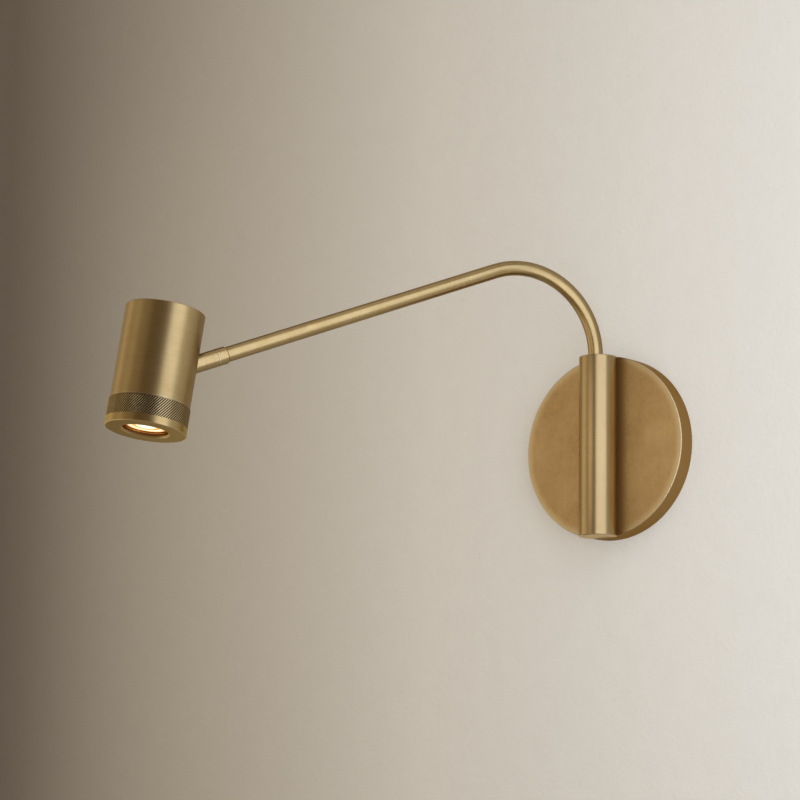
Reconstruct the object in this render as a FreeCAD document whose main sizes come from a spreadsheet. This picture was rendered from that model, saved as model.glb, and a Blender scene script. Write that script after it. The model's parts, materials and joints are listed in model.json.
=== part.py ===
"""Wall reading lamp: a round back plate, a D-shaped column, a bent swing arm and a swivelling spot head.

All sizes are millimetres.  The frame has +X to the right along the wall, +Y into the wall and +Z up.
Its origin is the centre of the back plate on the wall's surface, so the lamp stands out to -Y.
"""
import FreeCAD, Part
import math
import os
import Sketcher

from FreeCAD import Placement, Rotation, Vector

# Driving dimensions: alias and value.  Everything else is worked out from these.
SIZES = {
    # back plate (a shallow pan) and the bracket behind it
    "plate_diameter": 120.0, "plate_depth": 13.0, "plate_front_wall": 2.0, "plate_rim_wall": 2.2,
    "plate_edge_round": 0.8, "bracket_gap": 2.8, "bracket_thickness": 2.0,
    "tab_width": 14.0, "tab_reach": 8.0, "tab_gap": 0.4, "wall_screw_spacing": 60.0,
    "wall_screw_hole": 4.5, "cable_entry_diameter": 20.0, "grub_diameter": 4.0, "grub_length": 6.0,
    "grub_depth": 5.5,
    # driver, terminal block and earth screw on the bracket
    "driver_width": 26.0, "driver_height": 56.0, "driver_depth": 7.5, "driver_inset": 26.8,
    "terminal_width": 16.0, "terminal_height": 30.0, "terminal_depth": 7.5, "terminal_inset": 29.8,
    "terminal_hole": 3.6, "lug_length": 6.0, "lug_width": 8.4, "lug_thickness": 2.0,
    "small_screw_diameter": 3.0,
    "small_head_diameter": 5.2, "small_head_height": 1.6, "earth_side": 12.0, "earth_rise": 40.0,
    # column
    "column_diameter": 25.0, "column_axis_gap": 6.4, "column_height": 118.4, "column_middle": -0.4,
    "column_edge": 0.5, "column_screw_spread": 15.4, "column_screw_rise": 40.0,
    "column_screw_grip": 7.0, "stem_passage": 10.8, "bush_diameter": 13.0, "bush_length": 14.0,
    "bush_recess": 0.5, "chamber_diameter": 16.0, "cap_thickness": 2.0, "cap_edge": 0.4,
    # arm
    "tube_diameter": 9.6, "tube_wall": 1.2, "bend_radius": 53.6, "arm_slope": 21.0,
    "arm_straight": 204.2, "swing_at_rest": 30.0, "swing_limit": 85.0, "stem_above_entry": 29.5,
    "running_clearance": 0.05, "open_clearance": 0.3, "thrust_washer_thickness": 0.5,
    "insert_engagement": 15.0, "insert_diameter": 8.0, "insert_reach": 21.5, "wave_thickness": 0.8,
    "segment_diameter": 15.4, "segment_thickness": 2.2, "stop_screw_diameter": 4.0,
    "stop_overlap": 1.1, "nut_flats": 10.0, "nut_thickness": 3.2,
    # swivel at the end of the arm
    "collar_diameter": 11.1, "collar_length": 7.0, "collar_end_wall": 1.6, "collar_chamfer": 0.7,
    "friction_disc": 0.3, "bolt_diameter": 5.0, "bolt_bore": 3.2, "bolt_head_thickness": 1.5,
    "bolt_washer": 0.4, "bolt_engagement": 8.0, "stub_to_head": 43.1, "head_angle": 60.0, "head_roll": 2.0,
    "socket_diameter": 18.0, "socket_depth": 7.4, "socket_end_wall": 2.0,
    "spigot_diameter": 7.0, "stub_nut_flats": 11.0, "stub_nut_thickness": 3.0,
    # head
    "head_diameter": 50.0, "head_length": 77.7, "stub_height": 42.9, "head_wall": 2.0,
    "head_top_wall": 2.5, "head_edge": 0.4, "ring_proud": 0.5, "ring_length": 17.2,
    "ring_front_wall": 3.0, "ring_edge": 0.6, "aperture_diameter": 30.4, "aperture_bevel": 1.1,
    "nose_step_in": 3.0, "nose_wall": 2.5, "nose_back_off": 5.3, "nose_shoulder": 2.4,
    "lens_recess": 3.3, "lens_diameter": 26.4, "lens_depth": 6.8, "lens_core": 14.0,
    "lens_groove": 1.2, "holder_wall": 1.9, "led_board_diameter": 29.0, "led_board_thickness": 1.6,
    "led_chip_diameter": 9.0, "led_chip_thickness": 1.0, "sink_base": 6.0,
    "sink_fin_length": 8.0, "sink_fin_thickness": 1.6, "sink_fin_pitch": 4.8,
    "sink_screw_diameter": 3.0, "sink_screw_length": 5.0, "seal_section": 1.6, "seal_place": 6.4,
    "clip_thickness": 1.0, "clip_place": 10.2, "clip_seat": 0.8, "clip_reach": 1.0,
    "ring_groove_depth": 1.4, "ring_stop_place": 3.5, "ring_stop_diameter": 2.0, "ring_turn": 270.0,
    "dimmer_board": 0.8, "dimmer_gap": 0.45, "wiper_thickness": 1.0,
    # internal leads
    "lead_diameter": 2.4, "lead_bend": 4.0, "lead_hole": 4.4, "lead_entry_inset": 10.8,
    "lead_inset": 6.0, "head_lead_bend": 8.0,
    "head_lead_corner": 12.0, "lead_joint_drop": 2.0, "grommet_hole": 6.0, "grommet_flange": 8.4,
    "grommet_flange_thickness": 1.0,
}

document = FreeCAD.newDocument("wall_reading_lamp")
sheet = document.addObject("Spreadsheet::Sheet", "Sizes")
for row, (alias, number) in enumerate(SIZES.items(), start=1):
    sheet.set(f"A{row}", alias)
    sheet.set(f"B{row}", str(number))
    sheet.setAlias(f"B{row}", alias)
document.recompute()


class Size:
    """A size that knows its value and the spreadsheet expression that gives it."""

    def __init__(self, value, text):
        self.value = value
        self.text = text

    def _join(self, other, sign, value, swap=False):
        text = other.text if isinstance(other, Size) else repr(float(other))
        pair = (text, self.text) if swap else (self.text, text)
        return Size(value, f"({pair[0]} {sign} {pair[1]})")

    def __add__(self, other):
        return self._join(other, "+", self.value + float(other))

    def __radd__(self, other):
        return self._join(other, "+", float(other) + self.value, swap=True)

    def __sub__(self, other):
        return self._join(other, "-", self.value - float(other))

    def __rsub__(self, other):
        return self._join(other, "-", float(other) - self.value, swap=True)

    def __mul__(self, other):
        return self._join(other, "*", self.value * float(other))

    __rmul__ = __mul__

    def __truediv__(self, other):
        return self._join(other, "/", self.value / float(other))

    def __neg__(self):
        return Size(-self.value, f"(-{self.text})")

    def __float__(self):
        return self.value


class Sizes:
    """Gives each driving dimension by its alias."""

    def __getattr__(self, alias):
        return Size(SIZES[alias], f"Sizes.{alias}")


def power(base, exponent):
    return Size(base.value ** exponent, f"({base.text} ^ {exponent})")


def root(square):
    return Size(math.sqrt(square.value), f"sqrt({square.text})")


size = Sizes()
sub_parts = []


# ---------------------------------------------------------------- building blocks
def bind(thing, **values):
    """Set properties: a Size is bound to the sheet, anything else is set as it is."""
    for name, value in values.items():
        if isinstance(value, Size):
            setattr(thing, name, value.value)
            thing.setExpression(name, value.text)
        else:
            setattr(thing, name, value)
    return thing


def place(thing, x=0, y=0, z=0, turn=None):
    """Put a solid in its sub-part's frame, each coordinate bound to the sheet where it is a Size."""
    thing.Placement = Placement(Vector(float(x), float(y), float(z)), turn or Rotation())
    for letter, value in (("x", x), ("y", y), ("z", z)):
        if isinstance(value, Size):
            thing.setExpression(f"Placement.Base.{letter}", value.text)
    return thing


def cylinder(diameter, height, x=0, y=0, z=0, turn=None, angle=360.0):
    rod = document.addObject("Part::Cylinder", "Cylinder")
    bind(rod, Radius=diameter / 2, Height=height, Angle=angle)
    return place(rod, x, y, z, turn)


def block(width, depth, height, x=0, y=0, z=0):
    """A box centred on x and y that stands on z."""
    solid = document.addObject("Part::Box", "Box")
    bind(solid, Length=width, Width=depth, Height=height)
    return place(solid, x - width / 2, y - depth / 2, z)


def fuse(*solids):
    union = document.addObject("Part::MultiFuse", "Fuse")
    union.Shapes = list(solids)
    return union


def cut(base, *tools):
    difference = document.addObject("Part::Cut", "Cut")
    difference.Base = base
    difference.Tool = tools[0] if len(tools) == 1 else fuse(*tools)
    return difference


def common(first, second):
    shared = document.addObject("Part::MultiCommon", "Common")
    shared.Shapes = [first, second]
    return shared


def group(solids):
    """Identical separate solids that share one node."""
    together = document.addObject("Part::Compound", "Group")
    together.Links = list(solids)
    return together


def hexagon(flats, height, z=0):
    nut = document.addObject("Part::Prism", "Hexagon")
    bind(nut, Polygon=6, Circumradius=flats / math.sqrt(3), Height=height)
    return place(nut, 0, 0, z)


def ring(outer, inner, height, z=0, angle=360.0):
    return cut(cylinder(outer, height, z=z, angle=angle), cylinder(inner, height, z=z))


def keep(name, solid, frame=None):
    """Name a finished sub-part and put it in its place on the lamp."""
    if frame is not None:
        if solid.ExpressionEngine:
            solid = group([solid])
        solid.Placement = frame.multiply(solid.Placement)
    solid.Label = name
    sub_parts.append(solid)
    return solid


def plane_of(body, role):
    for feature in body.Origin.OriginFeatures:
        if feature.Role == role:
            return feature
    raise RuntimeError(f"{body.Name} has no {role}")


def sketch_on(body, role, offset=None):
    sketch = body.newObject("Sketcher::SketchObject", "Sketch")
    sketch.AttachmentSupport = [(plane_of(body, role), "")]
    sketch.MapMode = "FlatFace"
    if offset is not None:
        sketch.AttachmentOffset = offset
    return sketch


def pin_point(sketch, curve, end, across, up):
    """Tie one end of a sketch line to its two coordinates."""
    for kind, axis, value in (("DistanceX", -2, across), ("DistanceY", -1, up)):
        if abs(float(value)) < 1e-9:
            sketch.addConstraint(Sketcher.Constraint("PointOnObject", curve, end, axis))
            continue
        number = sketch.addConstraint(Sketcher.Constraint(kind, -1, 1, curve, end, float(value)))
        if isinstance(value, Size):
            sketch.setExpression(f"Constraints[{number}]", value.text)


def turned(profile):
    """A body turned about its Z axis from a closed outline of (diameter, height) points."""
    body = document.addObject("PartDesign::Body", "Turned")
    sketch = sketch_on(body, "XZ_Plane")
    corners = [(across / 2 if across else 0, up) for across, up in profile]
    count = len(corners)
    points = [Vector(float(across), float(up), 0) for across, up in corners]
    for index in range(count):
        sketch.addGeometry(Part.LineSegment(points[index], points[(index + 1) % count]), False)
    for index in range(count):
        following = (index + 1) % count
        sketch.addConstraint(Sketcher.Constraint("Coincident", index, 2, following, 1))
        pin_point(sketch, index, 1, *corners[index])
    revolution = body.newObject("PartDesign::Revolution", "Revolution")
    revolution.Profile = sketch
    revolution.ReferenceAxis = (sketch, ["V_Axis"])
    revolution.Angle = 360.0
    return body


def frame_from(origin, along, beside):
    """A frame whose Z runs along one direction and whose X lies in the plane of a second."""
    z_axis = Vector(along).normalize()
    x_axis = (beside - z_axis * beside.dot(z_axis)).normalize()
    return Placement(origin, Rotation(x_axis, z_axis.cross(x_axis), z_axis, "ZXY"))


# ---------------------------------------------------------------- the lamp's own frames
# In the wall frame X is along the wall, Y is up and Z is the distance out from the wall.
OUTWARD = Placement(Vector(), Rotation(Vector(1, 0, 0), 90))
TO_WALL_X = Rotation(Vector(0, 1, 0), 90)
UPRIGHT = Rotation(Vector(1, 0, 0), -90)

column_radius = size.column_diameter / 2
column_axis = size.plate_depth + size.column_axis_gap
stem_axis = size.plate_depth + (size.column_axis_gap + column_radius) / 2
column_bottom = size.column_middle - size.column_height / 2
column_top = size.column_middle + size.column_height / 2
rim_inner = size.plate_diameter - 2 * size.plate_rim_wall
lead_entry = size.lead_entry_inset - rim_inner / 2

# The arm's frame has its Z up the stem's axis and its X out along the arm, level.
swing_heading = -(90.0 + SIZES["swing_at_rest"])
ARM = Placement(Vector(0, -float(stem_axis), 0), Rotation(Vector(0, 0, 1), swing_heading))
slope = math.radians(SIZES["arm_slope"])
bend_turn = math.pi / 2 + slope
arm_level = ARM.Rotation.multVec(Vector(1, 0, 0))
arm_direction = arm_level * math.cos(slope) - Vector(0, 0, 1) * math.sin(slope)
bend_end = Vector(SIZES["bend_radius"] * (1 - math.cos(bend_turn)), 0,
                  float(column_top) + SIZES["bend_radius"] * math.sin(bend_turn))
joint_point = ARM.multVec(bend_end) + arm_direction * SIZES["arm_straight"]

# The swivel's frame starts at the joint line and has its Z along the arm, towards the head.
SWIVEL = frame_from(joint_point, arm_direction, Vector(0, 0, 1))

# The head's frame starts at the middle of its closed top and has its Z down the beam.
# Its X points away from the stub.
across_plane = Vector(0, 0, 1).cross(arm_level)
beam_angle = slope + math.radians(SIZES["head_angle"])
beam_unrolled = arm_level * math.cos(beam_angle) - Vector(0, 0, 1) * math.sin(beam_angle)
beam = Rotation(arm_direction, SIZES["head_roll"]).multVec(beam_unrolled)
stub_crossing = joint_point + arm_direction * SIZES["stub_to_head"]
HEAD = frame_from(stub_crossing - beam * SIZES["stub_height"], beam, arm_direction)


def oblique(solid, frame, seen_from):
    """Place a tool that is described in one frame into a sub-part built in another."""
    solid.Placement = seen_from.inverse().multiply(frame).multiply(solid.Placement)
    return solid


def round_rim(body, diameter, height, radius):
    """Round the circular edge that a turned body has at a diameter and a height."""
    document.recompute()
    tip = body.Tip
    names = []
    for number, edge in enumerate(tip.Shape.Edges, start=1):
        curve = edge.Curve
        if isinstance(curve, Part.Circle) and abs(curve.Radius - float(diameter) / 2) < 1e-6:
            if abs(curve.Center.z - float(height)) < 1e-6:
                names.append(f"Edge{number}")
    if not names:
        raise RuntimeError("no rim to round")
    fillet = body.newObject("PartDesign::Fillet", "Fillet")
    fillet.Base = (tip, names)
    bind(fillet, Radius=radius)
    return body


def rounded_path(points, radius):
    """Straight runs through the points, joined by tangent arcs of one radius."""
    edges = []
    start = points[0]
    for before, corner, after in zip(points, points[1:], points[2:]):
        back = (before - corner).normalize()
        ahead = (after - corner).normalize()
        half_angle = back.getAngle(ahead) / 2
        reach = radius / math.tan(half_angle)
        middle = corner + (back + ahead).normalize() * (radius / math.sin(half_angle) - radius)
        leave, join = corner + back * reach, corner + ahead * reach
        if (leave - start).Length > 1e-6:
            edges.append(Part.LineSegment(start, leave).toShape())
        edges.append(Part.Arc(leave, middle, join).toShape())
        start = join
    edges.append(Part.LineSegment(start, points[-1]).toShape())
    return Part.Wire(edges)


def lead(name, points, bend, frame=None):
    """A round insulated lead along its route, checked against its section times its length."""
    path = rounded_path(points, bend)
    heading = (points[1] - points[0]).normalize()
    radius = SIZES["lead_diameter"] / 2
    section = Part.Wire([Part.Circle(points[0], heading, radius).toShape()])
    tube = path.makePipeShell([section], True, False)
    expected = math.pi * radius ** 2 * path.Length
    if abs(tube.Volume / expected - 1) > 0.01:
        raise RuntimeError(f"{name}: the swept volume is wrong")
    print(f"{name}: length {path.Length:.1f}, bend radius {bend:.1f}")
    piece = document.addObject("Part::Feature", "Lead")
    piece.Shape = tube
    return keep(name, piece, frame)


def screw(diameter, length, head_diameter, head_height, x, y, z):
    """A cheese-head screw whose head stands on z and whose shank points to -Z."""
    shank = cylinder(diameter, length, x, y, z - length)
    return fuse(shank, cylinder(head_diameter, head_height, x, y, z))


# ---------------------------------------------------------------- back plate
pan_floor = size.plate_depth - size.plate_front_wall
rim_radius = size.plate_diameter / 2

pan = turned([(rim_inner, 0), (size.plate_diameter, 0), (size.plate_diameter, size.plate_depth),
              (0, size.plate_depth), (0, pan_floor), (rim_inner, pan_floor)])
round_rim(pan, size.plate_diameter, size.plate_depth, size.plate_edge_round)

screw_places = [(side * size.column_screw_spread / 2, level * size.column_screw_rise / 2)
                for side in (-1, 1) for level in (-1, 1)]
screw_hole = size.small_screw_diameter + 4 * size.running_clearance
pan_holes = [cylinder(screw_hole, size.plate_depth, x, y) for x, y in screw_places]
pan_holes.append(cylinder(size.grommet_hole, size.plate_depth, y=lead_entry))
pan_holes.append(cylinder(size.grub_diameter, size.plate_diameter, y=-rim_radius, z=size.grub_depth,
                          turn=UPRIGHT))
keep("back_plate", cut(pan, *pan_holes), OUTWARD)

# ---------------------------------------------------------------- wall bracket
bracket_diameter = rim_inner - 2 * size.bracket_gap
driver_centre = rim_inner / 2 - size.driver_inset
terminal_centre = rim_inner / 2 - size.terminal_inset
tab_outer = root(power(rim_inner / 2 - size.tab_gap, 2) - power(size.tab_width / 2, 2))
tab_middle = tab_outer - size.bracket_thickness / 2
tongue = block(size.tab_width, 2 * tab_outer, size.bracket_thickness)
tabs = [block(size.tab_width, size.bracket_thickness, size.tab_reach, y=side * tab_middle)
        for side in (-1, 1)]
bracket_blank = fuse(cylinder(bracket_diameter, size.bracket_thickness), tongue, *tabs)

lug_rise = (size.driver_height + size.lug_length) / 2
lug_screw_places = [(-driver_centre, side * lug_rise) for side in (-1, 1)]
earth_place = (size.earth_side, size.earth_rise)
bracket_holes = [cylinder(size.cable_entry_diameter, size.bracket_thickness)]
for side in (-1, 1):
    bracket_holes.append(cylinder(size.wall_screw_hole, size.bracket_thickness,
                                  y=side * size.wall_screw_spacing / 2))
for x, y in lug_screw_places + [earth_place]:
    bracket_holes.append(cylinder(size.small_screw_diameter, size.bracket_thickness, x, y))
bracket_holes.append(cylinder(size.grub_diameter, size.plate_diameter, y=-rim_radius,
                              z=size.grub_depth, turn=UPRIGHT))
keep("wall_bracket", cut(bracket_blank, *bracket_holes), OUTWARD)

grub_start = rim_radius - size.grub_length
grubs = [cylinder(size.grub_diameter, size.grub_length, y=place_, z=size.grub_depth, turn=UPRIGHT)
         for place_ in (grub_start, -rim_radius)]
keep("plate_grub_screws", group(grubs), OUTWARD)

# ---------------------------------------------------------------- electrics on the bracket
driver_box = block(size.driver_width, size.driver_height, size.driver_depth,
                   x=-driver_centre, z=size.bracket_thickness)
lug_bar = block(size.lug_width, size.driver_height + 2 * size.lug_length, size.lug_thickness,
                x=-driver_centre, z=size.bracket_thickness)
lug_holes = [cylinder(screw_hole, size.driver_depth, x, y, size.bracket_thickness)
             for x, y in lug_screw_places]
keep("led_driver", cut(fuse(driver_box, lug_bar), *lug_holes), OUTWARD)

lug_top = size.bracket_thickness + size.lug_thickness
driver_screws = [screw(size.small_screw_diameter, lug_top, size.small_head_diameter,
                       size.small_head_height, x, y, lug_top) for x, y in lug_screw_places]
keep("driver_screws", group(driver_screws), OUTWARD)

terminal_box = block(size.terminal_width, size.terminal_height, size.terminal_depth,
                     x=terminal_centre, z=size.bracket_thickness)
terminal_level = size.bracket_thickness + size.terminal_depth / 2
way_pitch = size.terminal_height / 3
ways = []
for step in (-1, 0, 1):
    ways.append(cylinder(size.terminal_hole, size.terminal_width,
                         terminal_centre - size.terminal_width / 2, step * way_pitch,
                         terminal_level, TO_WALL_X))
    for side in (-1, 1):
        ways.append(cylinder(size.terminal_hole, size.terminal_depth / 2,
                             terminal_centre + side * size.terminal_width / 4,
                             step * way_pitch, terminal_level))
keep("terminal_block", cut(terminal_box, *ways), OUTWARD)

clamps = [cylinder(size.small_screw_diameter, size.terminal_depth / 4,
                   terminal_centre + side * size.terminal_width / 4, step * way_pitch,
                   terminal_level + size.terminal_depth / 8)
          for step in (-1, 0, 1) for side in (-1, 1)]
keep("terminal_screws", group(clamps), OUTWARD)

keep("earth_screw", screw(size.small_screw_diameter, size.bracket_thickness,
                          size.small_head_diameter, size.small_head_height, *earth_place,
                          size.bracket_thickness), OUTWARD)

# ---------------------------------------------------------------- column
stem_bottom = lead_entry + size.stem_above_entry
lower_bush_top = stem_bottom - size.thrust_washer_thickness
lower_bush_bottom = lower_bush_top - size.bush_length
upper_bush_top = column_top - size.bush_recess
upper_bush_bottom = upper_bush_top - size.bush_length
segment_top = lower_bush_bottom - size.wave_thickness
segment_middle = segment_top - size.segment_thickness / 2

column_bar = turned([(0, 0), (size.column_diameter - 2 * size.column_edge, 0),
                     (size.column_diameter, size.column_edge),
                     (size.column_diameter, size.column_height - size.column_edge),
                     (size.column_diameter - 2 * size.column_edge, size.column_height),
                     (0, size.column_height)])
column_bar.Placement = Placement(Vector(0, -float(column_axis), float(column_bottom)), Rotation())

milled_flat = block(size.column_diameter, size.column_diameter, size.column_height,
                    y=column_radius - size.plate_depth, z=column_bottom)
bores = [
    cylinder(size.bush_diameter, column_top - upper_bush_bottom, y=-stem_axis, z=upper_bush_bottom),
    cylinder(size.stem_passage, upper_bush_bottom - lower_bush_top, y=-stem_axis, z=lower_bush_top),
    cylinder(size.bush_diameter, size.bush_length, y=-stem_axis, z=lower_bush_bottom),
    cylinder(size.chamber_diameter, lower_bush_bottom - column_bottom, y=-stem_axis,
             z=column_bottom),
    cylinder(size.lead_hole, stem_axis - size.plate_depth, y=-size.plate_depth,
             z=lead_entry, turn=OUTWARD.Rotation),
]
stop_tip = size.segment_diameter / 2 - size.stop_overlap
stop_length = stem_axis - size.plate_depth - stop_tip
bores.append(cylinder(size.stop_screw_diameter, stop_length, y=-size.plate_depth, z=segment_middle,
                      turn=OUTWARD.Rotation))
for x, level in screw_places:
    bores.append(cylinder(size.small_screw_diameter, size.column_screw_grip, x, -size.plate_depth,
                          level, OUTWARD.Rotation))
keep("column", cut(column_bar, milled_flat, *bores))

column_screws = [screw(size.small_screw_diameter, size.plate_front_wall + size.column_screw_grip,
                       size.small_head_diameter, size.small_head_height, x, level, 0)
                 for x, level in screw_places]
INTO_COLUMN = Placement(Vector(0, -float(pan_floor), 0), Rotation(Vector(1, 0, 0), -90))
keep("column_screws", group(column_screws), INTO_COLUMN)

keep("stop_screw", cylinder(size.stop_screw_diameter, stop_length, y=-size.plate_depth,
                            z=segment_middle, turn=OUTWARD.Rotation))

STEM = Placement(Vector(0, -float(stem_axis), 0), Rotation())
fit_gap = 2 * size.running_clearance
keep("upper_bush", ring(size.bush_diameter, size.tube_diameter + fit_gap, size.bush_length,
                        upper_bush_bottom), STEM)
keep("lower_bush", ring(size.bush_diameter, size.insert_diameter + fit_gap, size.bush_length,
                        lower_bush_bottom), STEM)
keep("column_cap", turned([(0, 0), (size.chamber_diameter - 2 * size.cap_edge, 0),
                           (size.chamber_diameter, size.cap_edge),
                           (size.chamber_diameter, size.cap_thickness), (0, size.cap_thickness)]),
     STEM.multiply(Placement(Vector(0, 0, float(column_bottom)), Rotation())))

flange_inside = pan_floor - size.grommet_flange_thickness
grommet = turned([(size.lead_diameter + fit_gap, flange_inside),
                  (size.grommet_flange, flange_inside), (size.grommet_flange, pan_floor),
                  (size.grommet_hole, pan_floor), (size.grommet_hole, size.plate_depth),
                  (size.lead_diameter + fit_gap, size.plate_depth)])
keep("cable_grommet", grommet,
     OUTWARD.multiply(Placement(Vector(0, float(lead_entry), 0), Rotation())))

# ---------------------------------------------------------------- arm
bore_in_tube = size.tube_diameter - 2 * size.tube_wall


def bent_tube(start, straight, outer, inner):
    """A tube up the stem's axis, round the bend and down along the arm's straight."""
    body = document.addObject("PartDesign::Body", "BentTube")
    path = sketch_on(body, "XZ_Plane")
    radius = SIZES["bend_radius"]
    top = float(column_top)
    path.addGeometry(Part.LineSegment(Vector(0, float(start), 0), Vector(0, top, 0)), False)
    arc = Part.ArcOfCircle(Part.Circle(Vector(radius, top, 0), Vector(0, 0, 1), radius),
                           math.pi - bend_turn, math.pi)
    path.addGeometry(arc, False)
    bend_out = Vector(bend_end.x, bend_end.z, 0)
    away = Vector(math.cos(slope), -math.sin(slope), 0)
    path.addGeometry(Part.LineSegment(bend_out, bend_out + away * float(straight)), False)
    path.addConstraint(Sketcher.Constraint("Vertical", 0))
    path.addConstraint(Sketcher.Constraint("PointOnObject", 0, 1, -2))
    path.addConstraint(Sketcher.Constraint("Tangent", 0, 2, 1, 2))
    path.addConstraint(Sketcher.Constraint("Tangent", 1, 1, 2, 1))
    values = (("DistanceY", (-1, 1, 0, 1), start), ("DistanceY", (-1, 1, 0, 2), column_top),
              ("Radius", (1,), size.bend_radius), ("Distance", (2,), straight))
    for kind, places, value in values:
        number = path.addConstraint(Sketcher.Constraint(kind, *places, float(value)))
        path.setExpression(f"Constraints[{number}]", value.text)
    number = path.addConstraint(Sketcher.Constraint("Angle", 2, 1, -1, 1, slope))
    path.setExpression(f"Constraints[{number}]", f"{size.arm_slope.text} * 1 deg")

    section = sketch_on(body, "XY_Plane", Placement(Vector(0, 0, float(start)), Rotation()))
    section.setExpression("AttachmentOffset.Base.z", start.text)
    for number, across in enumerate((outer, inner)):
        section.addGeometry(Part.Circle(Vector(), Vector(0, 0, 1), float(across) / 2), False)
        section.addConstraint(Sketcher.Constraint("Coincident", number, 3, -1, 1))
        held = section.addConstraint(Sketcher.Constraint("Diameter", number, float(across)))
        section.setExpression(f"Constraints[{held}]", across.text)
    pipe = body.newObject("PartDesign::AdditivePipe", "AdditivePipe")
    pipe.Profile = section
    pipe.Spine = (path, ["Edge1", "Edge2", "Edge3"])
    return body


tube_straight = size.arm_straight - size.collar_end_wall
keep("arm_tube", bent_tube(stem_bottom, tube_straight, size.tube_diameter, bore_in_tube), ARM)

insert_end = stem_bottom - size.insert_reach
keep("stem_insert", turned([(size.lead_hole, insert_end), (size.insert_diameter, insert_end),
                            (size.insert_diameter, stem_bottom), (bore_in_tube, stem_bottom),
                            (bore_in_tube, stem_bottom + size.insert_engagement),
                            (size.lead_hole, stem_bottom + size.insert_engagement)]), ARM)

washer_bore = size.insert_diameter + 2 * size.open_clearance
keep("thrust_washer", ring(size.stem_passage - 2 * size.open_clearance, washer_bore,
                           size.thrust_washer_thickness, lower_bush_top), ARM)
keep("wave_washer", ring(size.bush_diameter - 2 * size.open_clearance, washer_bore,
                         size.wave_thickness, segment_top), ARM)

# The stop segment turns with the stem and meets the stop screw at each end of the swing.
meets_screw = math.degrees(math.asin(SIZES["stop_screw_diameter"] / 2 / float(stop_tip)))
spare_degree = 1.0
segment_half = 180.0 - SIZES["swing_limit"] - spare_degree - meets_screw
segment_bottom = segment_top - size.segment_thickness
sector = cylinder(size.segment_diameter, size.segment_thickness, z=segment_bottom,
                  turn=Rotation(Vector(0, 0, 1), -segment_half), angle=2 * segment_half)
hub = cylinder(2 * stop_tip - 2 * size.open_clearance, size.segment_thickness, z=segment_bottom)
segment_bore = cylinder(size.insert_diameter, size.segment_thickness, z=segment_bottom)
keep("stop_segment", cut(fuse(sector, hub), segment_bore), ARM)

nut_bottom = segment_bottom - size.nut_thickness
keep("stem_nut", cut(hexagon(size.nut_flats, size.nut_thickness, nut_bottom),
                     cylinder(size.insert_diameter, size.nut_thickness, z=nut_bottom)), ARM)

# ---------------------------------------------------------------- swivel
collar_start = -size.collar_length
keep("arm_collar", turned([
    (size.bolt_diameter + fit_gap, 0), (size.bolt_diameter + fit_gap, -size.collar_end_wall),
    (size.tube_diameter, -size.collar_end_wall), (size.tube_diameter, collar_start),
    (size.collar_diameter - 2 * size.collar_chamfer, collar_start),
    (size.collar_diameter, collar_start + size.collar_chamfer), (size.collar_diameter, 0)]), SWIVEL)

washer_back = -size.collar_end_wall - size.bolt_washer
bolt_head_diameter = bore_in_tube - 2 * size.open_clearance
bolt_head_front = washer_back - size.running_clearance
keep("swivel_washer", ring(bore_in_tube - fit_gap, size.bolt_diameter + fit_gap, size.bolt_washer,
                           washer_back), SWIVEL)
bolt_end = size.friction_disc + size.bolt_engagement
keep("swivel_bolt", turned([
    (size.bolt_bore, bolt_head_front - size.bolt_head_thickness),
    (bolt_head_diameter, bolt_head_front - size.bolt_head_thickness),
    (bolt_head_diameter, bolt_head_front), (size.bolt_diameter, bolt_head_front),
    (size.bolt_diameter, bolt_end),
    (size.bolt_bore, bolt_end)]), SWIVEL)
keep("friction_disc", ring(size.collar_diameter - size.collar_chamfer,
                           size.bolt_diameter + fit_gap, size.friction_disc, 0), SWIVEL)

head_inner = size.head_diameter - 2 * size.head_wall
oblique_share = math.sin(math.radians(SIZES["head_angle"]))
socket_face = size.stub_to_head - head_inner / 2 / oblique_share + size.socket_depth
shoulder = socket_face - size.socket_end_wall
spigot_end = socket_face + size.stub_nut_thickness + size.open_clearance
keep("head_stub", turned([
    (size.bolt_diameter, size.friction_disc), (size.collar_diameter, size.friction_disc),
    (size.collar_diameter, shoulder), (size.spigot_diameter, shoulder),
    (size.spigot_diameter, spigot_end), (size.bolt_bore, spigot_end), (size.bolt_bore, bolt_end),
    (size.bolt_diameter, bolt_end)]), SWIVEL)

# ---------------------------------------------------------------- head
ring_diameter = size.head_diameter + 2 * size.ring_proud
nose_diameter = size.head_diameter - 2 * size.nose_step_in
clip_inner = nose_diameter - 2 * size.clip_seat
clip_outer = nose_diameter + 2 * size.clip_reach
ring_start = size.head_length - size.ring_length
barrel_end = ring_start - size.open_clearance
nose_end = size.head_length - size.nose_back_off
nose_inner = nose_diameter - 2 * size.nose_wall
nose_step = barrel_end - size.nose_shoulder
barrel = turned([
    (0, 0), (size.head_diameter - 2 * size.head_edge, 0), (size.head_diameter, size.head_edge),
    (size.head_diameter, barrel_end), (nose_diameter, barrel_end),
    (nose_diameter, nose_end), (nose_inner, nose_end), (nose_inner, nose_step),
    (head_inner, nose_step), (head_inner, size.head_top_wall), (0, size.head_top_wall)])

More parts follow.
